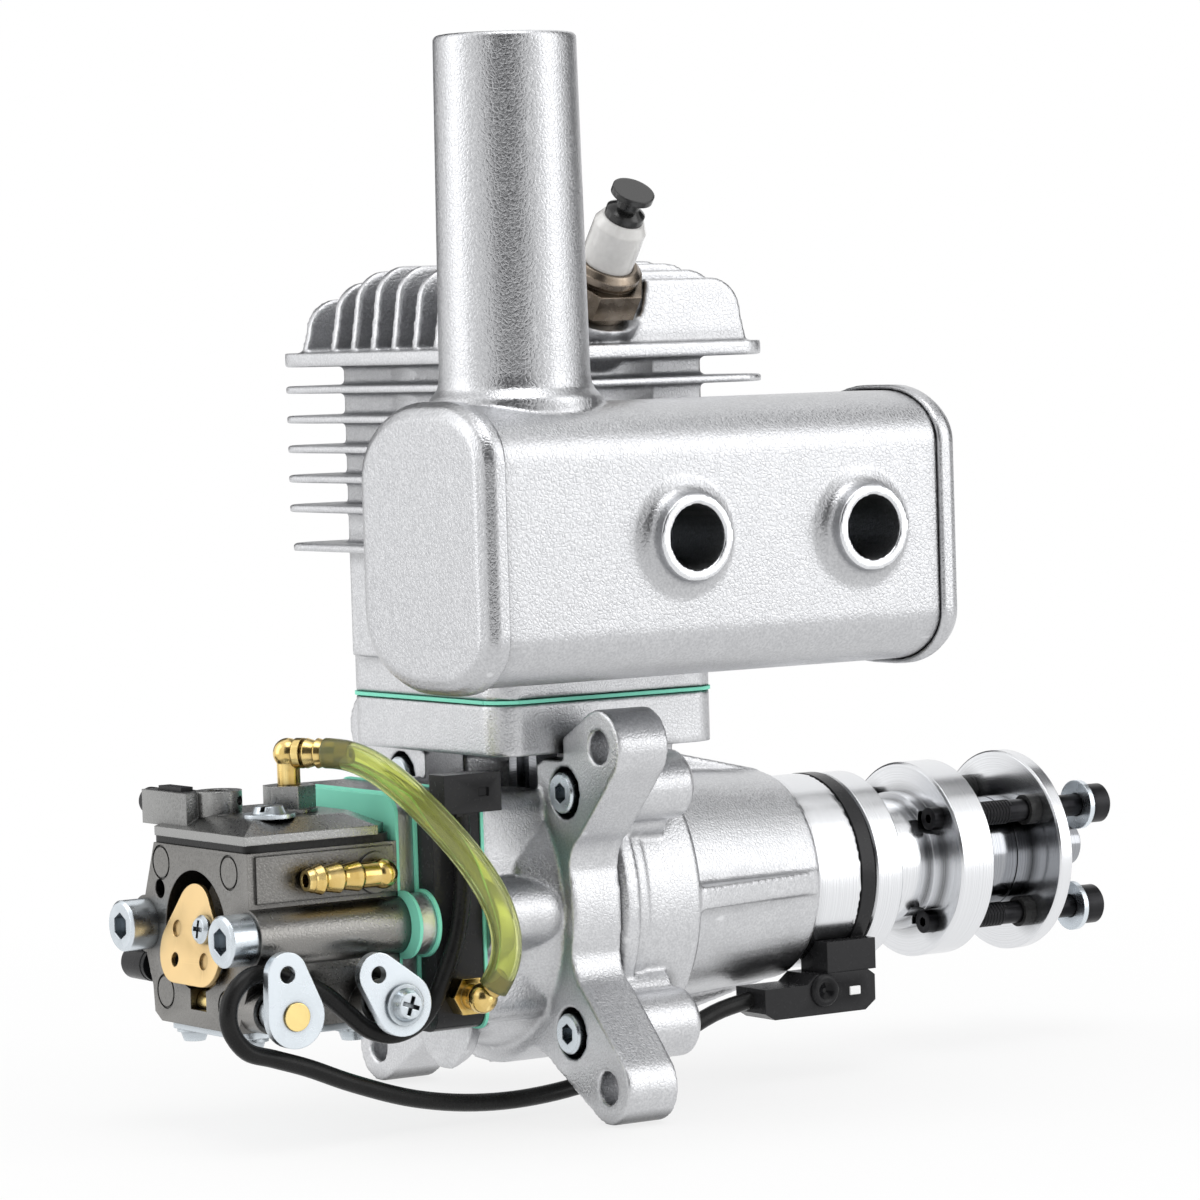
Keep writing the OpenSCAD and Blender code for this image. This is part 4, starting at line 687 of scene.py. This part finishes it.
def evaluated_mesh(obj):
    """A mesh with the object's modifiers applied."""
    bpy.context.view_layer.update()
    mesh = bpy.data.meshes.new_from_object(obj.evaluated_get(bpy.context.evaluated_depsgraph_get()))
    obj.modifiers.clear()
    return mesh


def soften(name, sources, voxel, rounds, kept, material):
    """One closed mesh of these CAD nodes, with the soft edges and fillets of a casting."""
    bm = bmesh.new()
    for source in sources:
        bm.from_mesh(nodes[source].data)
    bmesh.ops.remove_doubles(bm, verts=bm.verts, dist=0.001 * MM)
    obj = piece_from(bm, name, material)
    remesh = obj.modifiers.new("remesh", "REMESH")
    remesh.mode = "VOXEL"
    remesh.voxel_size = voxel * MM
    smooth = obj.modifiers.new("smooth", "SMOOTH")
    smooth.factor = 0.5
    smooth.iterations = rounds
    obj.data = evaluated_mesh(obj)
    thin = obj.modifiers.new("thin", "DECIMATE")
    thin.ratio = min(1.0, kept / (2 * len(obj.data.polygons)))
    obj.data = evaluated_mesh(obj)
    obj.data.name = name
    obj.data.shade_smooth()
    obj.data.materials.clear()
    obj.data.materials.append(material)
    return obj


def finish_faces(piece, material, chosen):
    """Gives the faces whose middle passes the test chosen a second material."""
    piece.data.materials.append(material)
    for face in piece.data.polygons:
        if chosen(face.center):
            face.material_index = 1


def open_bore(casting):
    """Puts the softened bore and its roof back outside the piston's path."""
    low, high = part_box("piston")
    axis_x = (low.x + high.x) / 2
    axis_y = (low.y + high.y) / 2
    radius = (high.x - low.x) / 2
    roof = high.z + PISTON_STROKE + BORE_ROOM
    for vertex in casting.data.vertices:
        x = vertex.co.x - axis_x
        y = vertex.co.y - axis_y
        r = math.hypot(x, y)
        if low.z < vertex.co.z < roof + BORE_WALL and radius - BORE_WALL < r < radius + BORE_ROOM:
            vertex.co.x = axis_x + x * (radius + BORE_ROOM) / r
            vertex.co.y = axis_y + y * (radius + BORE_ROOM) / r
        if r < radius + BORE_WALL and roof - BORE_WALL < vertex.co.z < roof:
            vertex.co.z = roof


def make_castings(materials):
    """Softened castings, with machined faces on the nose ring and on the cut ends of tubes."""
    for name, sources, voxel, rounds, kept, finish in CASTINGS:
        casting = soften(name, sources, voxel, rounds, kept, materials[finish])
        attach(casting, "engine")
        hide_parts(*sources)
        if name == "cylinder_casting":
            open_bore(casting)
        if name == "crankcase_casting":
            finish_faces(casting, materials["machined"], lambda c: c.x > NOSE_RING_X)
        if name == "muffler_can":
            rim_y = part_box("access_tubes")[0].y + CUT_DEPTH
            top_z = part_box("stack_pipe")[1].z - CUT_DEPTH
            finish_faces(casting, materials["cut"], lambda c: c.y < rim_y or c.z > top_z)


def ride_with(piece, body):
    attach(piece, body)


def window_piece(material):
    """The sensor's small window with rounded edges."""
    bm = bmesh.new()
    bmesh.ops.create_cube(bm, size=1)
    for v in bm.verts:
        v.co = Vector([((l + h) / 2 + c * (h - l)) * MM for l, h, c in zip(WINDOW_LOW, WINDOW_HIGH, v.co)])
    bmesh.ops.bevel(bm, geom=bm.edges[:], offset=WINDOW_EDGE * MM, segments=3, profile=0.5, affect="EDGES")
    return piece_from(bm, "sensor_window", material)


def eye_piece(material):
    """The sensor's turned eye, round an axis along -Y."""
    bm = bmesh.new()
    rings = []
    x, y, z = EYE_PLACE
    for radius, height in EYE_PROFILE:
        rings.append([
            bm.verts.new(Vector((x + radius * math.cos(t), y - height, z + radius * math.sin(t))) * MM)
            for t in ring_angles(EYE_SIDES)
        ])
    for ring, after in zip(rings, rings[1:]):
        bridge(bm, ring, after)
    bm.faces.new(rings[0])
    bm.faces.new(rings[-1])
    bmesh.ops.recalc_face_normals(bm, faces=bm.faces)
    return piece_from(bm, "sensor_eye", material, smooth=True)


def thread_ridge(name, y, z, material):
    """A helical ridge along X round the point (y, z), as a screw thread."""
    bm = bmesh.new()
    turns = (THREAD_END - THREAD_START) / THREAD_PITCH
    rings = []
    for i in range(int(turns * THREAD_SIDES) + 1):
        angle = 2 * math.pi * i / THREAD_SIDES
        x = THREAD_START + THREAD_PITCH * i / THREAD_SIDES
        ring = []
        for across, out in THREAD_SECTION:
            r = THREAD_R + out * THREAD_HEIGHT
            place = (x + across * THREAD_PITCH, y + r * math.cos(angle), z + r * math.sin(angle))
            ring.append(bm.verts.new(place))
        rings.append(ring)
    for ring, after in zip(rings, rings[1:]):
        bridge(bm, ring, after)
    bm.faces.new(rings[0][::-1])
    bm.faces.new(rings[-1])
    bmesh.ops.recalc_face_normals(bm, faces=bm.faces)
    return piece_from(bm, name, material)


def make_details(materials):
    """The sensor's window and eye, and the threads of the propeller bolts."""
    ride_with(window_piece(materials["white"]), "engine")
    ride_with(eye_piece(materials["plastic"]), "engine")
    for k in range(BOLT_COUNT):
        turn = math.radians(BOLT_PHASE + 360 * k / BOLT_COUNT)
        y, z = BOLT_CIRCLE_R * math.cos(turn), BOLT_CIRCLE_R * math.sin(turn)
        ridge = thread_ridge("bolt_thread_%d" % (k + 1), y, z, materials["black_steel"])
        ride_with(ridge, "crank")


make_camera()
finishes = make_materials()
make_cords(finishes)
dress_nodes(finishes)
make_castings(finishes)
make_details(finishes)
make_floor()
make_world()
make_lights()
make_flags()
scene.view_settings.view_transform = "Standard"
